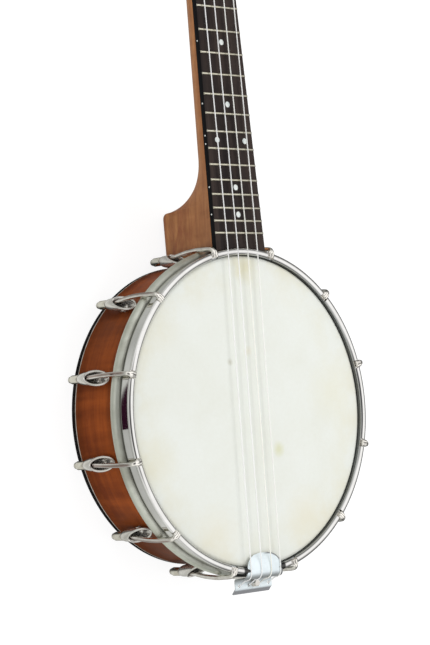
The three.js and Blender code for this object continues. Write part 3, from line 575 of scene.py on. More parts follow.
def ring_arc(thinner, steps):
    reach, half = ring_reach - thinner, ring_half - thinner
    arc = [(ring_centre + reach * math.cos(a), ring_middle + half * math.sin(a))
           for a in ((i / steps - 0.5) * math.pi for i in range(steps + 1))]
    return [(ring_foot, ring_middle - half), *arc, (ring_foot, ring_middle + half)]


# Painted shadow beside the tailpiece: nickel turned near black within 17 mm of the middle line at the tail
# end.
def painted_shadow_by_the_tail(tree, part, colour):
    side = stretched(tree, reckoned(tree, "ABSOLUTE", part["X"]), 0.0173, 0.0163, 0.0, 0.93)
    tail_end = stretched(tree, part["Y"], -0.05, -0.06)
    return blended(tree, times(tree, side, tail_end), colour, (0.02, 0.02, 0.02))


def shaded_crest(tree, colour):
    part = parts_of(tree, own_place(tree))
    crest_shade = stretched(tree, part["Z"], -0.0081, -0.0074, 0.0, 0.6)
    return painted_shadow_by_the_tail(tree, part, blended(tree, crest_shade, colour, (0.12, 0.11, 0.09)))


ring_mesh = spun("tone_ring_sheet", ring_arc(0, 20) + ring_arc(ring_sheet, 12)[::-1])
dull_nickel = plated("dull_nickel", round_the_pot, metal=(0.78, 0.8, 0.71), tarnish=(0.5, 0.5, 0.42),
                     dullness=0.8, patches=45, polish=0.42, worn=0.62, tint=shaded_crest)
fitted("tone_ring_sheet", ring_mesh, dull_nickel, ["tone_ring"])

# Flesh hoop: a ring of square wire that the wet skin was lapped under. It lies outside the bearing
# edge, hidden below the tension hoop that draws it down.
wire_in, wire_out, wire_low, wire_high = 89.5, 90.95, -5.5, -3.0
wire_outline = eased(oblong(wire_in, wire_out, wire_low, wire_high), [0.4] * 4)
fitted("flesh_hoop_wire", spun("flesh_hoop_wire", wire_outline), dull_nickel, ["flesh_hoop"])

# Head: a calf skin stretched over the bearing edge and down outside the wire, cream, matt and a
# little cloudy, with old warm stains at the edge, near the neck and in a few small spots.
skin_outline = eased([
    (0, -0.5), (60, -0.5), (89.3, -0.5), (90.8, -1.15), (91.25, -1.9), (91.25, -5.8), (91.75, -5.8),
    (91.75, -1.7), (91.2, -0.75), (89.8, 0.0), (60, 0.0), (30, 0.0), (0, 0.0),
], [0, 0, 0.6, 0.4, 0.3, 0, 0, 0.3, 0.4, 0.8, 0, 0, 0])
vellum, tree = new_look("vellum")
place = own_place(tree)
part = parts_of(tree, place)
flat = flattened(tree, part)
away = from_axis(tree, part)


def stain(centre, inner, outer):
    gap = measured(tree, "DISTANCE", flat, (centre[0] * mm, centre[1] * mm, 0))
    ragged = stretched(tree, noise(tree, flat, 240), 0.0, 1.0, -outer * 0.25 * mm, outer * 0.25 * mm)
    return stretched(tree, plus(tree, gap, ragged), outer * mm, inner * mm)


clouds = stretched(tree, noise(tree, place, 26, 5, 0.6, 0.4), 0.38, 0.68)
colour = blended(tree, clouds, (0.815, 0.838, 0.79), (0.79, 0.808, 0.745))
fine = stretched(tree, noise(tree, place, 420, 5, 0.6), 0.3, 0.7, 0.0, 0.08)
colour = blended(tree, fine, colour, (0.62, 0.6, 0.5))
rim_stain = times(tree, stretched(tree, away, 0.066, 0.088),
                  stretched(tree, noise(tree, place, 38, 4, 0.6), 0.42, 0.66), 0.35)
colour = blended(tree, rim_stain, colour, (0.72, 0.66, 0.44))
stains = (
    ((1.9, 85), 2, 12, (0.66, 0.6, 0.36), 0.5), ((20.7, -23.8), 0.9, 5.4, (0.66, 0.66, 0.38), 0.6),
    ((-14.1, 29.1), 0.1, 2.6, (0.45, 0.42, 0.3), 0.5), ((-76, -26), 3, 20, (0.74, 0.7, 0.5), 0.35),
    ((70, 8), 3, 24, (0.78, 0.74, 0.52), 0.25), ((-34, -72), 4, 22, (0.78, 0.72, 0.54), 0.3),
    ((40, -66), 4, 22, (0.76, 0.7, 0.5), 0.35), ((1, 35), 0.4, 4.0, (0.76, 0.68, 0.5), 0.35),
)
for centre, inner, outer, tone, strength in stains:
    colour = blended(tree, times(tree, stain(centre, inner, outer), strength), colour, tone)
# Painted shade in the crevice where the skin meets the hoop.
painted_crevice_shade = stretched(tree, away, 0.0908, 0.0916, 0.0, 0.5)
fibres = plus(tree, noise(tree, place, 700, 6, 0.65), noise(tree, place, 60, 2))
shaded(tree, {"Base Color": blended(tree, painted_crevice_shade, colour, (0.3, 0.3, 0.29)),
              "Roughness": stretched(tree, clouds, 0.0, 1.0, 0.5, 0.66), "Specular IOR Level": 0.2},
       fibres, 0.04, 0.35)
fitted("head_skin", spun("head_skin", skin_outline), vellum, ["drum_head"])

# Tension hoop: a drawn brass band, nickel plated and still bright, that presses the wire ring down. Its
# top is a rounded bead that stands above the skin and is notched for each hook.
bead_middle, bead_half, bead_rise, bead_high = 93.85, 2.05, 1.2, 1.7
bead = [(bead_middle + bead_half * math.cos(a), bead_rise + bead_high * math.sin(a))
        for a in (math.radians(angle) for angle in range(-56, 221, 8))]
hoop_in, hoop_out, hoop_low = 91.85, 94.4, -7.0
hoop_outline = [(hoop_in, hoop_low), (hoop_out - 0.3, hoop_low), (hoop_out, hoop_low + 0.3),
                (hoop_out, -0.8), *bead, (hoop_in, -1.5)]


# Painted shade on the hoop: darker in the groove under the bead's outer side, on the inner wall facing the
# skin, and along its foot above the tone ring.
def painted_shade_inside(tree, colour):
    part = parts_of(tree, own_place(tree))
    away = from_axis(tree, part)
    groove = times(tree, band(tree, part["Z"], -0.0013, 0.0004, 0.0003),
                   stretched(tree, away, 0.094, 0.0944, 0.0, 0.7))
    inside = times(tree, stretched(tree, away, 0.0929, 0.0921), stretched(tree, part["Z"], 0.0032, 0.0014))
    foot = stretched(tree, part["Z"], -0.0057, -0.0066, 0.0, 0.6)
    painted_crevice_shade = blended(tree, largest(tree, foot, inside, groove), colour, (0.32, 0.33, 0.33))
    return painted_shadow_by_the_tail(tree, part, painted_crevice_shade)


bright_nickel = plated("bright_nickel", round_the_pot, metal=(0.88, 0.87, 0.85),
                       tarnish=(0.55, 0.52, 0.48), dullness=0.3, patches=70, polish=0.035, worn=0.18,
                       pressed=0.1, tint=painted_shade_inside)
notch = block("notch", (-2.5, 90.5, 1.3), (2.5, 98, 5))
hoop_mesh = carved(spun("tension_hoop_band", hoop_outline), [turned(notch, station) for station in stations])
fitted("tension_hoop_band", hoop_mesh, bright_nickel, ["tension_hoop"])


# Hooks: round steel bent out over the ring, flattened and spread where they bear on the hoop, nickel
# plated; painted highlights whiten the claws and a painted dark reflection runs along each bar's outward
# face.
def run_through(points, steps):
    """Points on a smooth curve that passes through all the given ones."""
    path = []
    last = len(points) - 1
    for i in range(last):
        a, b, c, d = (Vector(points[k]) for k in (max(i - 1, 0), i, i + 1, min(i + 2, last)))
        for k in range(steps):
            t = k / steps
            path.append(0.5 * (2 * b + (c - a) * t + (2 * a - 5 * b + 4 * c - d) * t ** 2
                               + (3 * b - a - 3 * c + d) * t ** 3))
    return path + [Vector(points[-1])]


def tube(name, path, sizes, sides=16, square=2.0, sharp=35, ridge=0.0):
    """A bar along a path, with its half width and half depth at each point. Where it grows wider than
    at its start, ridge presses flutes into it; square above 2 flattens its sides."""
    last = len(path) - 1
    across = Vector((1, 0, 0))
    rings = []
    for i, (wide, deep) in enumerate(sizes):
        run = (path[min(i + 1, last)] - path[max(i - 1, 0)]).normalized()
        across = (across - run * across.dot(run)).normalized()
        up = run.cross(across)
        crown = ridge * max(wide / sizes[0][0] - 1, 0)
        ring = []
        for angle in round_steps(sides):
            c, s = math.cos(angle), math.sin(angle)
            side = math.copysign(abs(c) ** (2 / square), c)
            high = math.copysign(abs(s) ** (2 / square), s) * (1 + crown * math.cos(3 * math.pi * side))
            ring.append(path[i] + across * wide * side + up * deep * high)
        rings.append(ring)
    return skinned(name, rings, sharp)


def all_round(node, ending, mesh, look):
    for i, station in enumerate(stations, 1):
        fitted(f"{node}_{i:02d}_{ending}", turned(mesh, station), look, [f"{node}_{i:02d}"])


hook_round, claw_half, claw_deep = 1.35, 2.2, 1.1
spread_starts, spread_long = 97.4, 1.9
hook_corners = [(hook_axis, -51.2), (hook_axis, -44), (hook_axis, -38.5), (96.9, -30), (98.3, -20.5),
                (98.85, -11.5), (98.6, -5.5), (98.35, -1.2), (97.7, 1.55), (96.1, 2.62), (94.6, 2.6),
                (93.3, 2.5)]
hook_path = [Vector((0, r, z)) for r, z in run_through(hook_corners, 5)]
claw_end = hook_path[-1]
hook_sizes = []
for point in hook_path:
    share = min(max((spread_starts - point.y) / spread_long, 0), 1) if point.z > 0 else 0
    share = share ** 2 * (3 - 2 * share)
    hook_sizes.append((hook_round + share * (claw_half - hook_round),
                       hook_round + share * (claw_deep - hook_round)))
claw_tip = ((0.22, 0.93), (0.38, 0.75), (0.46, 0.45))
for step, share in claw_tip:
    hook_path.append(claw_end + Vector((0, -step, -step * 0.3)))
    hook_sizes.append((claw_half * share, claw_deep * share))


# Painted highlight whitening the claws above the hoop, and a painted dark reflection along each bar's
# outward face.
def painted_hook_light(tree, colour):
    part = parts_of(tree, own_place(tree))
    outward = wire(tree, "VectorMath", {0: flattened(tree, part)}, operation="NORMALIZE").outputs[0]
    normal = wire(tree, "NewGeometry").outputs["Normal"]
    face = measured(tree, "DOT_PRODUCT", outward, normal)
    colour = blended(tree, stretched(tree, part["Z"], 0.0, 0.0015, 0.0, 0.7), colour, (1.0, 0.97, 0.9))
    painted_dark_stripe = times(tree, stretched(tree, face, 0.9, 0.985), stretched(tree, part["Z"], 0.001, -0.002), 0.75)
    return blended(tree, painted_dark_stripe, colour, (0.27, 0.17, 0.14))


nickel_with_painted_stripe = plated("nickel_with_painted_stripe", metal=(0.88, 0.85, 0.81), tarnish=(0.48, 0.4, 0.34),
                        dullness=0.5, patches=190, polish=0.1, worn=0.3, tint=painted_hook_light,
                        painted_edge_shade=0.8)
all_round("hook", "bar", tube("hook", hook_path, hook_sizes, 36, 2.6, ridge=0.3), nickel_with_painted_stripe)

# Hook nuts: closed nuts turned from brass and plated, with a domed end and a shallow turned line. Each
# is run up the thread at the back end of its hook, against the shoe.
nut_outline = eased([(0, -52.8), (1.9, -52.8), (2.1, -50.6), (2.6, -50.0), (2.6, -43.8), (1.65, -43.8),
                     (1.65, -51.4), (0, -51.4)], [0, 1.4, 0.3, 0.4, 0.3, 0.1, 0.1, 0])
nut_mesh = spun("hook_nut", nut_outline, 40)
nut_mesh.transform(Matrix.Translation((0, hook_axis * mm, 0)))
nut_nickel = plated("nut_nickel", metal=(0.8, 0.77, 0.69), tarnish=(0.45, 0.38, 0.28),
                    dullness=0.5, patches=260, polish=0.12, worn=0.3, painted_edge_shade=0.85)
all_round("hook_nut", "cap", nut_mesh, nut_nickel)

# Shoes: cast brass slippers, plated. A narrow back end takes the hook, and the shell opens forward in
# a slanting oval mouth with a rolled lip. A bolt and a nut inside the rim hold each one.
shoe_foot, shoe_wall, shoe_lip = 90.1, 1.1, 0.72
shoe_upper = [Vector(p) for p in ((98.0, -43.5), (98.5, -42.0), (98.6, -39.5), (98.05, -36.9))]
shoe_lower = [Vector(p) for p in ((92.9, -43.5), (90.6, -42.0), (90.0, -33.0), (91.3, -22.6))]
shoe_halves = (2.6, 3.6, 4.45, 4.0)
shoe_steps = 20


def through(four, t):
    rest = 1 - t
    return four[0] * rest ** 3 + four[1] * 3 * t * rest ** 2 + four[2] * 3 * t ** 2 * rest + four[3] * t ** 3


def shoe_ring(t, grow, lift=0.0, foot=shoe_foot):
    upper, lower, half = (through(four, t) for four in (shoe_upper, shoe_lower, shoe_halves))
    middle = (upper + lower) / 2
    along = (upper - lower).normalized()
    front = Vector((-along.y, along.x))
    long = (upper - lower).length / 2 + grow
    ring = []
    for angle in round_steps(40):
        r, z = middle + along * long * math.cos(angle) + front * lift
        ring.append(((half + grow) * math.sin(angle), max(r, foot), z))
    return ring


shoe_rings = [shoe_ring(t, grow) for t, grow in ((0, -1.0), (0, -0.5), (0.01, -0.15))]
shoe_rings += [shoe_ring(k / shoe_steps, 0) for k in range(1, shoe_steps)]
for angle in (math.radians(18 * k) for k in range(11)):
    shoe_rings.append(shoe_ring(1, shoe_lip * math.cos(angle), shoe_lip * math.sin(angle)))
shoe_rings += [shoe_ring(k / shoe_steps, -shoe_wall, foot=shoe_foot + shoe_wall)
               for k in range(shoe_steps - 1, 5, -1)]
shoe_mesh = skinned("shoe", shoe_rings)
shoe_mesh = carved(shoe_mesh, [rod("hole", 1.65, (0, hook_axis, -46), (0, hook_axis, -34))])
shoe_bolt = rod("shoe_bolt", 2.0, (0, 78.4, shoe_middle), (0, 91.6, shoe_middle))
shoe_bolt_head = spun("bolt_head", eased([(0, 0.0), (3.0, 0.0), (3.0, 0.9), (0, 1.5)], [0, 0, 0.8, 0]), 32)
in_the_shoe = Matrix.Translation((0, (shoe_foot + shoe_wall - 0.1) * mm, shoe_middle * mm))
shoe_bolt_head.transform(in_the_shoe @ Matrix.Rotation(-math.pi / 2, 4, "X"))


def hexagon(name, radius, start, end):
    chamfers = ((0.88, 0.0), (1.0, 0.12), (1.0, 0.82), (0.86, 1.0))
    return rod(name, radius, start, end, 6, chamfers, 20)


inner_nut = hexagon("inner_nut", 4.0, (0, rim_inner, shoe_middle), (0, 78.4, shoe_middle))
shoe_mesh = carved(shoe_mesh, [shoe_bolt_head, shoe_bolt, inner_nut], 35, "UNION")
shoe_nickel = plated("shoe_nickel", metal=(0.8, 0.78, 0.74), tarnish=(0.46, 0.41, 0.35),
                     dullness=0.45, patches=200, polish=0.06, worn=0.22, metallic=0.8, painted_edge_shade=0.75)
all_round("shoe", "slipper", shoe_mesh, shoe_nickel)

# Neck: one piece of light mahogany. A slim rounded back, a hollow sweep into a deep heel that is cut to
# the ring and the rim, and a flat headstock that leans back, pierced for four pegs.
board_frame = Matrix.Translation((0, 0, 5.14)) @ Matrix.Rotation(-math.radians(2.37), 4, "X")
nut_at, nut_thick = 326.7, 4.5
head_start = nut_at + nut_thick
head_frame = board_frame @ Matrix.Translation((0, head_start, 0)) @ Matrix.Rotation(-math.radians(4), 4, "X")
board_end, board_end_half, nut_half = 96.3, 19.72, 14.7
board_thick = 3.5
glue_line = -board_thick - 0.02


def half_width(y):
    return board_end_half + (y - board_end) / (nut_at - board_end) * (nut_half - board_end_half)


def moved(points, frame):
    return [frame @ Vector(point) for point in points]


def fine_half(shares):
    """A half section of (share of the half width, share of the depth), drawn finer."""
    past_the_middle = (-shares[-2][0], shares[-2][1])
    return run_through([*shares, past_the_middle], 4)[:4 * (len(shares) - 1) + 1]


neck_half = fine_half([(1, 0), (0.985, 0.2), (0.91, 0.42), (0.78, 0.63), (0.6, 0.8), (0.34, 0.94), (0, 1)])
heel_half = fine_half([(1, 0), (0.88, 0.2), (0.79, 0.42), (0.73, 0.63), (0.68, 0.84), (0.6, 0.97), (0, 1)])


def neck_ring(y, half, depth, heel_share):
    side = []
    for plain, heel in zip(neck_half, heel_half):
        across, down = plain.lerp(heel, heel_share)
        side.append(Vector((half * across, y, glue_line - depth * down)))
    side[-1].x = 0
    return side + [Vector((-p.x, p.y, p.z)) for p in side[-2::-1]]


def bevelled(mesh, width):
    return shaped(mesh, [("BEVEL", {"width": width * mm, "segments": 3, "limit_method": "ANGLE",
                                    "angle_limit": math.radians(40), "use_clamp_overlap": True})])


heel_deep, heel_corner, heel_toe, heel_start = 51.0, 3.4, 124.0, 153.0
deep_by_heel, deep_by_nut = 16.0, 12.2
hollow_deep = heel_deep - heel_corner
neck_profile = [(y, heel_deep, 1.0) for y in (85.8, 100, 112)]
heel_steps, sweep_steps, back_steps = 8, 24, 20
for angle in (math.radians(90 * k / heel_steps) for k in range(heel_steps + 1)):
    neck_profile.append((heel_toe - heel_corner * (1 - math.sin(angle)),
                         hollow_deep + heel_corner * math.cos(angle), 1.0))
for share in (k / sweep_steps for k in range(1, sweep_steps + 1)):
    angle = math.radians(90 * share)
    neck_profile.append((heel_start - (heel_start - heel_toe) * math.cos(angle),
                         hollow_deep - (hollow_deep - deep_by_heel) * math.sin(angle), 1 - share))
for share in (k / back_steps for k in range(1, back_steps + 1)):
    neck_profile.append((heel_start + (nut_at - heel_start) * share,
                         deep_by_heel + (deep_by_nut - deep_by_heel) * share, 0.0))
neck_rings = [moved(neck_ring(y, half_width(y), depth, share), board_frame)
              for y, depth, share in neck_profile]
head_half, head_waist, head_long, head_thick, head_drop = 24.0, 21.0, 92.0, 12.0, 2.6
shoulder = head_half / 2
fade_long = head_half
for along, wide, deep in ((0.18, 0.93, 0.97), (0.35, 0.8, 0.9), (0.6, 0.66, 0.77), (0.8, 0.5, 0.6)):
    sunk = board_frame @ Matrix.Translation((0, 0, -along * head_drop))
    ring = neck_ring(head_start + along * fade_long, nut_half * wide, deep_by_nut * deep, 0)
    neck_rings.append(moved(ring, sunk))
neck_mesh = skinned("neck_wood", neck_rings, 40)

head_side = [Vector((nut_half, -nut_thick)),
             *bend((nut_half, 0), (nut_half, shoulder / 2), (head_half, shoulder)),
             *bend((head_half, shoulder), (head_waist, head_long / 2), (head_half, head_long - shoulder)),
             *bend((head_half, head_long - shoulder), (head_half, head_long), (0, head_long))]
head_line = head_side + [Vector((0, head_long))] + [Vector((-p.x, p.y)) for p in head_side[::-1]]
head_block = skinned("headstock", [moved([(x, y, z) for x, y in head_line], head_frame)
                                   for z in (-head_drop - head_thick, -head_drop)])
peg_hole = 3.3
peg_across, peg_near, peg_far = 14.5, 21.0, 59.0
peg_places = [(-peg_across, peg_near), (-peg_across, peg_far), (peg_across, peg_far), (peg_across, peg_near)]
peg_rooms = [rod("room", peg_hole, head_frame @ Vector((x, y, -20)), head_frame @ Vector((x, y, 4)), 40)
             for x, y in peg_places]
ring_room = round_room(ring_centre + ring_reach + 0.6, ring_middle - 4, 8)
rim_room = round_room(rim_outer + 0.05, -60, 8)
seat_room = skinned("room", [moved([(x, y, z) for x, z in oblong(-26, 26, glue_line, 10)], board_frame)
                             for y in (60, head_start + 0.02)])
neck_mesh = carved(neck_mesh, [bevelled(head_block, 1.0)], 40, "UNION")
neck_rooms = [seat_room, ring_room, rim_room, dowel_room(dowel_gap, 0, 110.1), *peg_rooms]
neck_mesh = carved(neck_mesh, neck_rooms, 40)


def along_the_neck(tree):
    return wire(tree, "Mapping", {"Vector": own_place(tree), "Rotation": (0, 0, -math.pi / 2)}).outputs[0]


def redder_heel(tree, colour):
    place = own_place(tree)
    part = parts_of(tree, place)
    clouds = stretched(tree, noise(tree, place, (95, 57, 95), 4, 0.6, 0.6), 0.46, 0.62)
    heel = band(tree, part["Y"], 0.085, 0.132, 0.012)
    toe = stretched(tree, part["Z"], -0.012, -0.034, 0.05, 0.6)
    return blended(tree, times(tree, clouds, heel, toe), colour, (0.25, 0.072, 0.035))


neck_wood = wooden("neck_wood", along_the_neck, light=(0.54, 0.25, 0.098), dark=(0.26, 0.1, 0.038),
                   streaks=0.8, mottle=0.4, pores=0.6, low=0.36, high=0.5, gleam=0.2, tint=redder_heel)
fitted("neck_wood", neck_mesh, neck_wood, ["neck"])

# Fingerboard: a dark stained board, glued to the neck and polished by playing, coloured near black on
# every face that doesn't face up. Its lower end is hollowed to the hoop.
board_low, board_high = 90, nut_at - 0.05
board_outline = [(-half_width(board_low), board_low), (half_width(board_low), board_low),
                 (half_width(board_high), board_high), (-half_width(board_high), board_high)]
board_mesh = skinned("board", [moved([(x, y, z) for x, y in board_outline], board_frame)
                               for z in (-board_thick, 0)])
hoop_room = round_room(bead_middle + bead_half + 0.1, -20, 12)


# near black wherever the surface doesn't face up
def darker_unless_facing_up(tree, colour):
    upward = parts_of(tree, wire(tree, "NewGeometry").outputs["Normal"])["Z"]
    return blended(tree, stretched(tree, upward, 0.5, 0.8, 1.0, 0.0), colour, (0.006, 0.006, 0.007))


board_mesh = bevelled(carved(board_mesh, [hoop_room]), 0.3)
dark_board = wooden("dark_board", along_the_neck, light=(0.058, 0.042, 0.036), dark=(0.017, 0.013, 0.013),
                    streaks=0.8, mottle=0.2, pores=0.5, low=0.45, high=0.6, gleam=0.08, tint=darker_unless_facing_up)
fitted("fingerboard_wood", board_mesh, dark_board, ["fingerboard"])

# Frets: eighteen lengths of pale wire with a rounded crown, pressed into slots across the board and
# filed down at both ends. Their places follow from the string length.
scale_long = 343.0
fret_count = 18
fret_at = [nut_at - scale_long * (1 - 2 ** (-n / 12)) for n in range(fret_count + 1)]
fret_side = [(-0.7, -0.2), (0.7, -0.2), (0.7, 0.0), (0.62, 0.4), (0.42, 0.66), (0.15, 0.79), (-0.15, 0.79),
             (-0.42, 0.66), (-0.62, 0.4), (-0.7, 0.0)]
fret_ends = ((0.0, 0.35), (0.5, 0.9), (1.0, 1.0))
fret_wire = plated("fret_wire", metal=(0.84, 0.8, 0.66), tarnish=(0.62, 0.56, 0.4), dullness=0.5,
                   patches=240, polish=0.3, worn=0.45)
for n in range(1, fret_count + 1):
    long = half_width(fret_at[n]) - 0.15
    steps = [(-long + inset, high) for inset, high in fret_ends]
    steps += [(long - inset, high) for inset, high in reversed(fret_ends)]
    rings = [moved([(x, fret_at[n] + y, z * high if z > 0 else z) for y, z in fret_side], board_frame)
             for x, high in steps]
    fitted(f"fret_{n:02d}", skinned(f"fret_{n:02d}", rings, 50), fret_wire, ["fingerboard"])

# Dots: thin rounds of pearl let into the board between the frets, two of them at the twelfth, and small
# ones in its left side for the player's eye.
dot_round, side_dot_round = 1.75, 0.5
dot_outline = [(0, -0.6), (dot_round, -0.6), (dot_round, 0.01), (dot_round - 0.05, 0.03), (0, 0.04)]
one_dot, two_dots = (0.7,), (-10.4, 11.8)
pearl, tree = new_look("pearl")
layers = stretched(tree, noise(tree, own_place(tree), (900, 350, 500), 4, 0.6, 1.5), 0.35, 0.65)
shaded(tree, {"Base Color": blended(tree, layers, (0.86, 0.88, 0.84), (0.62, 0.68, 0.68)),
              "Roughness": 0.22, "Coat Weight": 0.5})
on_the_board = board_frame.copy()
on_the_board.translation *= mm
for n in (5, 7, 10, 12, 15, 17):
    y = (fret_at[n] + fret_at[n - 1]) / 2
    for k, x in enumerate(two_dots if n == 12 else one_dot):
        dot = spun("dot", dot_outline, 32)
        dot.transform(on_the_board @ Matrix.Translation((x * mm, y * mm, 0)))
        fitted(f"dot_{n:02d}_{k}", dot, pearl, ["fingerboard"])
    for k, spot_y in enumerate((y - 2.5, y + 2.5) if n == 12 else (y,)):
        start, end = (board_frame @ Vector((deep - half_width(spot_y), spot_y, -board_thick / 2))
                      for deep in (0.6, -0.03))
        side_dot = rod("side_dot", side_dot_round, start, end, 20)
        fitted(f"side_dot_{n:02d}_{k}", side_dot, pearl, ["fingerboard"])

# String nut: a strip of bone at the head of the board, rounded over and slotted for four strings, worn
# yellow in the grain.
string_xs = [(i - 1.5) * 7.95 for i in range(4)]
over_nut, slot_half = 2.65, 0.5
nut_side = eased(oblong(nut_at, head_start, -board_thick, 3.3), [0.1, 0.1, 1.6, 0.7])
bone_nut = skinned("string_nut", [moved([(x, y, z) for y, z in nut_side], board_frame)
                                  for x in (-nut_half + 0.05, nut_half - 0.05)])
slot_ends = (nut_at - 2, head_start + 2)
slots = []
for x in string_xs:
    low, high = (board_frame @ Vector((x, y, over_nut + 0.1)) for y in slot_ends)
    slots.append(rod("slot", slot_half, low, high))
    mouth = [(x - slot_half, 2.75), (x + slot_half, 2.75), (x + 0.6, 6), (x - 0.6, 6)]
    slots.append(skinned("slot", [moved([(across, y, z) for across, z in mouth], board_frame)
                                  for y in slot_ends]))
bone, tree = new_look("bone")
grain = noise(tree, own_place(tree), (60, 700, 700), 5)
yellowed = blended(tree, stretched(tree, grain, 0.35, 0.7), (0.78, 0.72, 0.56), (0.6, 0.5, 0.33))
shaded(tree, {"Base Color": yellowed, "Roughness": stretched(tree, grain, 0.3, 0.7, 0.25, 0.42)},
       grain, 0.02, 0.4)
fitted("string_nut_bone", carved(bone_nut, slots), bone, ["string_nut"])

# Dowel stick: a square stick glued into the heel that crosses the pot to the tail, drilled for the end
# bolt. A plate with a square hole braces it against the inside of the rim.
dowel_end = -math.sqrt(rim_inner ** 2 - dowel_half ** 2) + 0.6
dowel = bevelled(dowel_room(0, dowel_end, 109.8, "dowel"), 0.8)
bolt_bore = rod("hole", bolt_hole, (0, dowel_end - 2, dowel_depth), (0, dowel_end + 14.3, dowel_depth))
fitted("dowel_wood", carved(dowel, [bolt_bore]), neck_wood, ["dowel_stick"])
brace_half, brace_tall, brace_thick = 14, 12, 2.4
brace_face = math.sqrt(rim_inner ** 2 - brace_half ** 2) - 0.6
brace = block("brace", (-brace_half, brace_face - brace_thick, dowel_depth - brace_tall),
              (brace_half, brace_face, dowel_depth + brace_tall))
brace = carved(bevelled(brace, 0.5), [dowel_room(dowel_gap - 0.1, 60, 90)])
fitted("brace_plate", brace, shoe_nickel, ["neck_brace"])

# Tailpiece: one bent sheet of nickel-plated brass, polished pale. A domed nose lies over the skin, the
# sheet goes over the hoop and down, and a ledge with a turned lip takes the bolt and the strings.
tail_front, crest, tail_wall, lip_bend = 83.4, 92.35, 97.9, 103.3
nose_high, crest_high, ledge_high = 1.1, 3.2, -8.4
wall_top = crest_high - (tail_wall - crest)
wall_foot, ledge_start = ledge_high + 1.2, tail_wall + 1.2
lip_start, lip_out, lip_down = lip_bend + 0.7, 2.6, 2.5
tail_sheet, tail_half, tail_flare, nose_long = 0.8, 13.7, 1.0, 9.0
nose_least, tail_camber = 0.25, 1.1


def tail_line():
    """The sheet's middle line as (distance from the axis, height) points, from the nose to the lip."""
    line = bend((tail_front, nose_high), ((tail_front + crest) / 2, crest_high), (crest, crest_high), 14)
    line += bend((crest, crest_high), (tail_wall, crest_high), (tail_wall, wall_top), 14)
    line += [Vector((tail_wall, wall_top + (wall_foot - wall_top) * k / 4)) for k in range(4)]
    line += bend((tail_wall, wall_foot), (tail_wall, ledge_high), (ledge_start, ledge_high), 8)
    line += [Vector((ledge_start + (lip_bend - ledge_start) * k / 5, ledge_high)) for k in range(5)]
    line += bend((lip_bend, ledge_high), (lip_bend + 0.4, ledge_high), (lip_start, ledge_high - 0.3), 5)
    line += [Vector((lip_start + lip_out * k / 5, ledge_high - 0.3 - lip_down * k / 5)) for k in range(6)]
    return line


def tail_across(away):
    """The sheet's half width and its fall towards the edges, at a distance from the axis."""
    into = min((away - tail_front) / nose_long, 1)
    nose = nose_least + (1 - nose_least) * math.sqrt(max(1 - (1 - into) ** 2, 0))
    past_crest = min(max((away - crest) / (tail_wall - crest), 0), 1)
    return tail_half * nose + past_crest * tail_flare, tail_camber * into * (1 - past_crest)


tail_points = tail_line()
tail_outs = []
for before, after in zip([tail_points[0], *tail_points], [*tail_points[1:], tail_points[-1]]):
    run = (after - before).normalized()
    tail_outs.append(Vector((-run.y, run.x)))


def on_the_tail(point, out, x, lift):
    """A place on the sheet, lifted off its middle line."""
    half, camber = tail_across(point.x)
    return (x, -point.x - out.x * lift, point.y + out.y * lift - camber * (x / half) ** 2)


tail_steps = 24
tail_rings = []
for point, out in zip(tail_points, tail_outs):
    half = tail_across(point.x)[0]
    tail_rings.append([on_the_tail(point, out, half * (2 * j / tail_steps - 1) * side, side * tail_sheet / 2)
                       for side in (1, -1) for j in range(tail_steps + 1)])
bolt_at = tail_wall + 3.1
string_hole = bolt_at + 0.9
ledge_bolt_hole = 1.6
tail_holes = [rod("hole", 1.0, (x, -string_hole, -11), (x, -string_hole, -6)) for x in string_xs]
tail_holes.append(rod("hole", ledge_bolt_hole, (0, -bolt_at, -11), (0, -bolt_at, -6)))
tail_mesh = carved(skinned("tailpiece", tail_rings, 45), tail_holes, 45)


# Painted shade on the tailpiece: darker in the bend between wall and ledge and over the turned lip, and a
# painted dark line along the top of the nose's far edge.
def painted_tail_shade(tree, colour):
    part = parts_of(tree, own_place(tree))
    painted_bend_shade = times(tree, band(tree, part["Y"], -0.0999, -0.0958, 0.0013), 0.75)
    colour = blended(tree, painted_bend_shade, colour, (0.22, 0.23, 0.22))
    # painted shade on the downward-facing lip
    lip = stretched(tree, part["Z"], (ledge_high + 0.1) * mm, (ledge_high - 0.5) * mm, 0.0, 0.9)
    colour = blended(tree, lip, colour, (0.31, 0.31, 0.33))
    sideways = stretched(tree, part["X"], 3.4 * mm, tail_half * mm)
    backward = stretched(tree, part["Y"], -(tail_front + nose_long) * mm, -tail_front * mm)
    round_nose = wire(tree, "CombineXYZ", {0: sideways, 1: backward}).outputs[0]
    painted_edge_line = stretched(tree, measured(tree, "LENGTH", round_nose), 0.9, 0.95)
    far_side = stretched(tree, part["X"], 0.0, 0.004)
    on_top = stretched(tree, part["Z"], -0.002, 0.0005)
    return blended(tree, times(tree, painted_edge_line, far_side, on_top, 0.9), colour, (0.17, 0.17, 0.18))


pale_nickel = plated("pale_nickel", metal=(0.88, 0.965, 1.0), tarnish=(0.74, 0.78, 0.8),
                     dullness=0.3, patches=130, polish=0.42, worn=0.55, tint=painted_tail_shade, metallic=0.4)
fitted("tailpiece_sheet", tail_mesh, pale_nickel, ["tailpiece"])

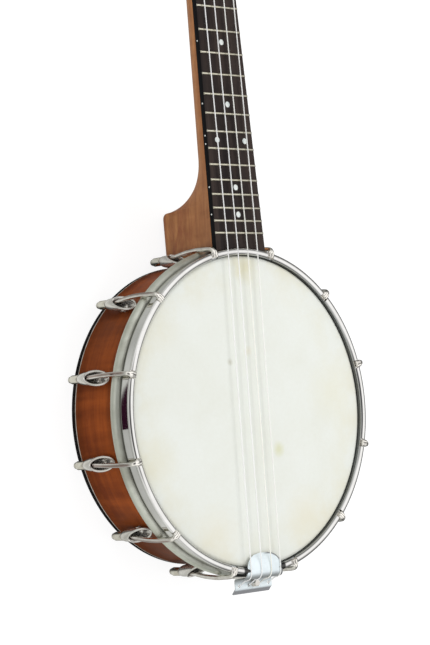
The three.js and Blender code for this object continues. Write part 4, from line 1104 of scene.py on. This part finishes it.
# Tail bracket and its bolts: a strap bent out from the rim under the ring and up to the ledge, held by
# a bolt into the dowel stick, and a small hexagon bolt with a washer that clamps the ledge to it.
strap_thick, strap_half = 1.2, 3.1
strap_foot, strap_out, strap_end = -90.1, -97.5, -103.2
strap_top, strap_low, strap_turn = ledge_high - 0.7, dowel_depth - 6, dowel_depth + 6
strap_side = eased([
    (strap_foot, strap_low), (strap_foot, strap_turn + strap_thick), (strap_out, strap_turn + strap_thick),
    (strap_out, strap_top), (strap_end, strap_top), (strap_end, strap_top - strap_thick),
    (strap_out - strap_thick, strap_top - strap_thick), (strap_out - strap_thick, strap_turn),
    (strap_foot - strap_thick, strap_turn), (strap_foot - strap_thick, strap_low),
], [0.3, 0.3, 0.9, 0.3, 0.3, 0.3, 0.3, 1.1, 0.3, 0.3])
strap = skinned("strap", [[(x, y, z) for y, z in strap_side] for x in (-strap_half, strap_half)])
strap = carved(strap, [rod("hole", ledge_bolt_hole, (0, -bolt_at, -14), (0, -bolt_at, -6)),
                       rod("hole", bolt_hole, (0, -95, dowel_depth), (0, -88, dowel_depth))])
fitted("tail_strap", strap, shoe_nickel, ["tail_bracket"])
ledge_top = ledge_high + 0.45
washer_top = ledge_top + 0.5
ledge_bolt = hexagon("ledge_bolt", 2.3, (0, -bolt_at, washer_top), (0, -bolt_at, ledge_top + 3.4))
ledge_shank = rod("shank", 1.3, (0, -bolt_at, -11.5), (0, -bolt_at, ledge_top + 1))
washer = rod("washer", 2.4, (0, -bolt_at, ledge_top), (0, -bolt_at, washer_top), 32)
ledge_bolt = carved(ledge_bolt, [ledge_shank, washer], 30, "UNION")
fitted("ledge_bolt", ledge_bolt, shoe_nickel, ["tailpiece_bolt"])
head_seat = strap_foot - strap_thick - 0.3
end_shank = rod("shank", 2.0, (0, head_seat - 1.3, dowel_depth), (0, dowel_end + 14, dowel_depth))
end_bolt = hexagon("end_bolt", 4.0, (0, head_seat, dowel_depth), (0, head_seat - 2.6, dowel_depth))
fitted("end_bolt_hex", carved(end_bolt, [end_shank], 30, "UNION"), shoe_nickel, ["end_bolt"])

# Pegs: one-piece friction pegs turned from dark hardwood and polished, with a collar behind the
# headstock and a flat rounded button to turn them by. Each is drilled for its string.
peg_round = 3.2
peg_back = -head_drop - head_thick - 0.3
collar_end = peg_back - 3.0
peg_neck_end = collar_end - 6.0
peg_top = -head_drop + 9.5
winding_turns, winding_pitch = 2.75, 1.3
winding_low = -head_drop + 3.2
winding_top = winding_low + winding_turns * winding_pitch
peg_waist = run_through([(2.7, peg_neck_end), (2.5, collar_end - 3.2), (3.1, collar_end - 1.2)], 5)
peg_side = [(0, peg_neck_end - 3), (2.7, peg_neck_end - 3), *[tuple(p) for p in peg_waist]]
plain_corners = [0] * len(peg_side)
peg_side += [(4.4, collar_end - 0.4), (5.0, collar_end + 0.3), (5.0, peg_back - 1.4), (4.5, peg_back - 1.0),
             (4.6, peg_back), (peg_round, peg_back), (peg_round, peg_top), (0, peg_top)]
peg_side = eased(peg_side, plain_corners + [0.2, 0.5, 0.3, 0.2, 0.3, 0.05, 0.8, 0])
button_half, button_thick, button_long, button_neck, button_edge = 8.5, 3.0, 13, 2.4, 0.5
button_steps = 24


def rounded(middle, power):
    """How wide a rounded oblong is, as a share, at a share of the way from its middle to its end."""
    return (1 - min(middle, 0.999) ** power) ** (1 / power)


def squared(value):
    return math.copysign(abs(value) ** 0.85, value)


button_rings = []
for share in (k / button_steps for k in range(button_steps + 1)):
    middle = abs(2 * share - 1)
    wide = max(button_half * rounded(middle, 2.6), button_neck if share < 0.5 else 0)
    thick = max(button_thick * rounded(middle, 2.2), button_edge if share > 0.5 else button_neck)
    button_rings.append([(thick * squared(math.cos(a)), wide * squared(math.sin(a)),
                          peg_neck_end - button_long * share) for a in round_steps(40)])
button = skinned("button", button_rings)
button.transform(Matrix.Rotation(math.pi / 2, 4, "Z"))
peg_mesh = carved(spun("peg", peg_side, 48), [button], 35, "UNION")
peg_mesh = carved(peg_mesh, [rod("hole", 1.1, (-6, 0, winding_top), (6, 0, winding_top))])


def down_the_peg(tree):
    return wire(tree, "Mapping", {"Vector": own_place(tree), "Rotation": (0, math.pi / 2, 0)}).outputs[0]


peg_wood = wooden("peg_wood", down_the_peg, light=(0.05, 0.028, 0.02), dark=(0.018, 0.01, 0.008),
                  streaks=0.6, mottle=0.1, pores=0.4, low=0.2, high=0.34, gleam=0.4)
for i, (x, y) in enumerate(peg_places, 1):
    stand = head_frame @ Matrix.Translation((x, y, 0))
    stand.translation *= mm
    peg = peg_mesh.copy()
    peg.transform(stand)
    fitted(f"peg_{i}_wood", peg, peg_wood, [f"peg_{i}"], f"peg_{i}")

# Strings: four pale nylon strings, knotted under the ledge, brought up through it and over the
# tailpiece, along to the nut and wound on the pegs. Both ends are held, so none is a free cord.
string_round = 0.36
knot = ((2.4, 0.2), (2.3, 0.5), (2.05, 0.78), (1.65, 0.85), (1.25, 0.78), (1.0, 0.55), (0.85, 0.4),
        (0.7, string_round))
winding_round = peg_round + 0.3 + string_round
turn_steps = 32
lift = tail_sheet / 2 + 0.1 + string_round
tints = ((1.0, 0.98, 0.94), (1.0, 1.0, 0.97), (0.96, 0.935, 0.83), (0.95, 0.93, 0.88))
for i, x in enumerate(string_xs):
    name = f"string_{i + 1}"
    path = [Vector((x, -string_hole, ledge_high - drop)) for drop, girth in knot]
    path += [Vector((x, -string_hole, ledge_high + 0.6)), Vector((x, 0.35 - string_hole, ledge_high + 1.2))]
    for point, out in reversed(list(zip(tail_points, tail_outs))):
        if point.x >= crest and point.y >= wall_top - 1.0:
            path.append(Vector(on_the_tail(point, out, x, lift)))
    over_the_board = ((board_end, 1.5), (200, 2.0), (nut_at, over_nut), (head_start, over_nut))
    path += moved([(x, y, height) for y, height in over_the_board], board_frame)
    peg_x, peg_y = peg_places[i]
    side = math.copysign(1, peg_x)
    begin = math.pi if side > 0 else 0
    for k in range(int(winding_turns * turn_steps) + 1):
        angle = begin - side * 2 * math.pi * k / turn_steps
        path.append(head_frame @ Vector((peg_x + winding_round * math.cos(angle),
                                         peg_y + winding_round * math.sin(angle),
                                         winding_low + winding_pitch * k / turn_steps)))
    girths = [girth for drop, girth in knot] + [string_round] * (len(path) - len(knot))
    gut, tree = new_look(name)
    wear = noise(tree, own_place(tree), (400, 60, 400))
    faded = tuple(part * 0.95 for part in tints[i])
    shaded(tree, {"Base Color": blended(tree, stretched(tree, wear, 0.35, 0.7), tints[i], faded),
                  "Roughness": stretched(tree, wear, 0.3, 0.7, 0.22, 0.36), "Coat Weight": 0.4,
                  "Subsurface Weight": 1.0, "Subsurface Radius": (1, 1, 1), "Subsurface Scale": 0.0012})
    strand = tube(name, path, [(girth, girth) for girth in girths], 10, sharp=60)
    fitted(f"{name}_strand", strand, gut, [name])
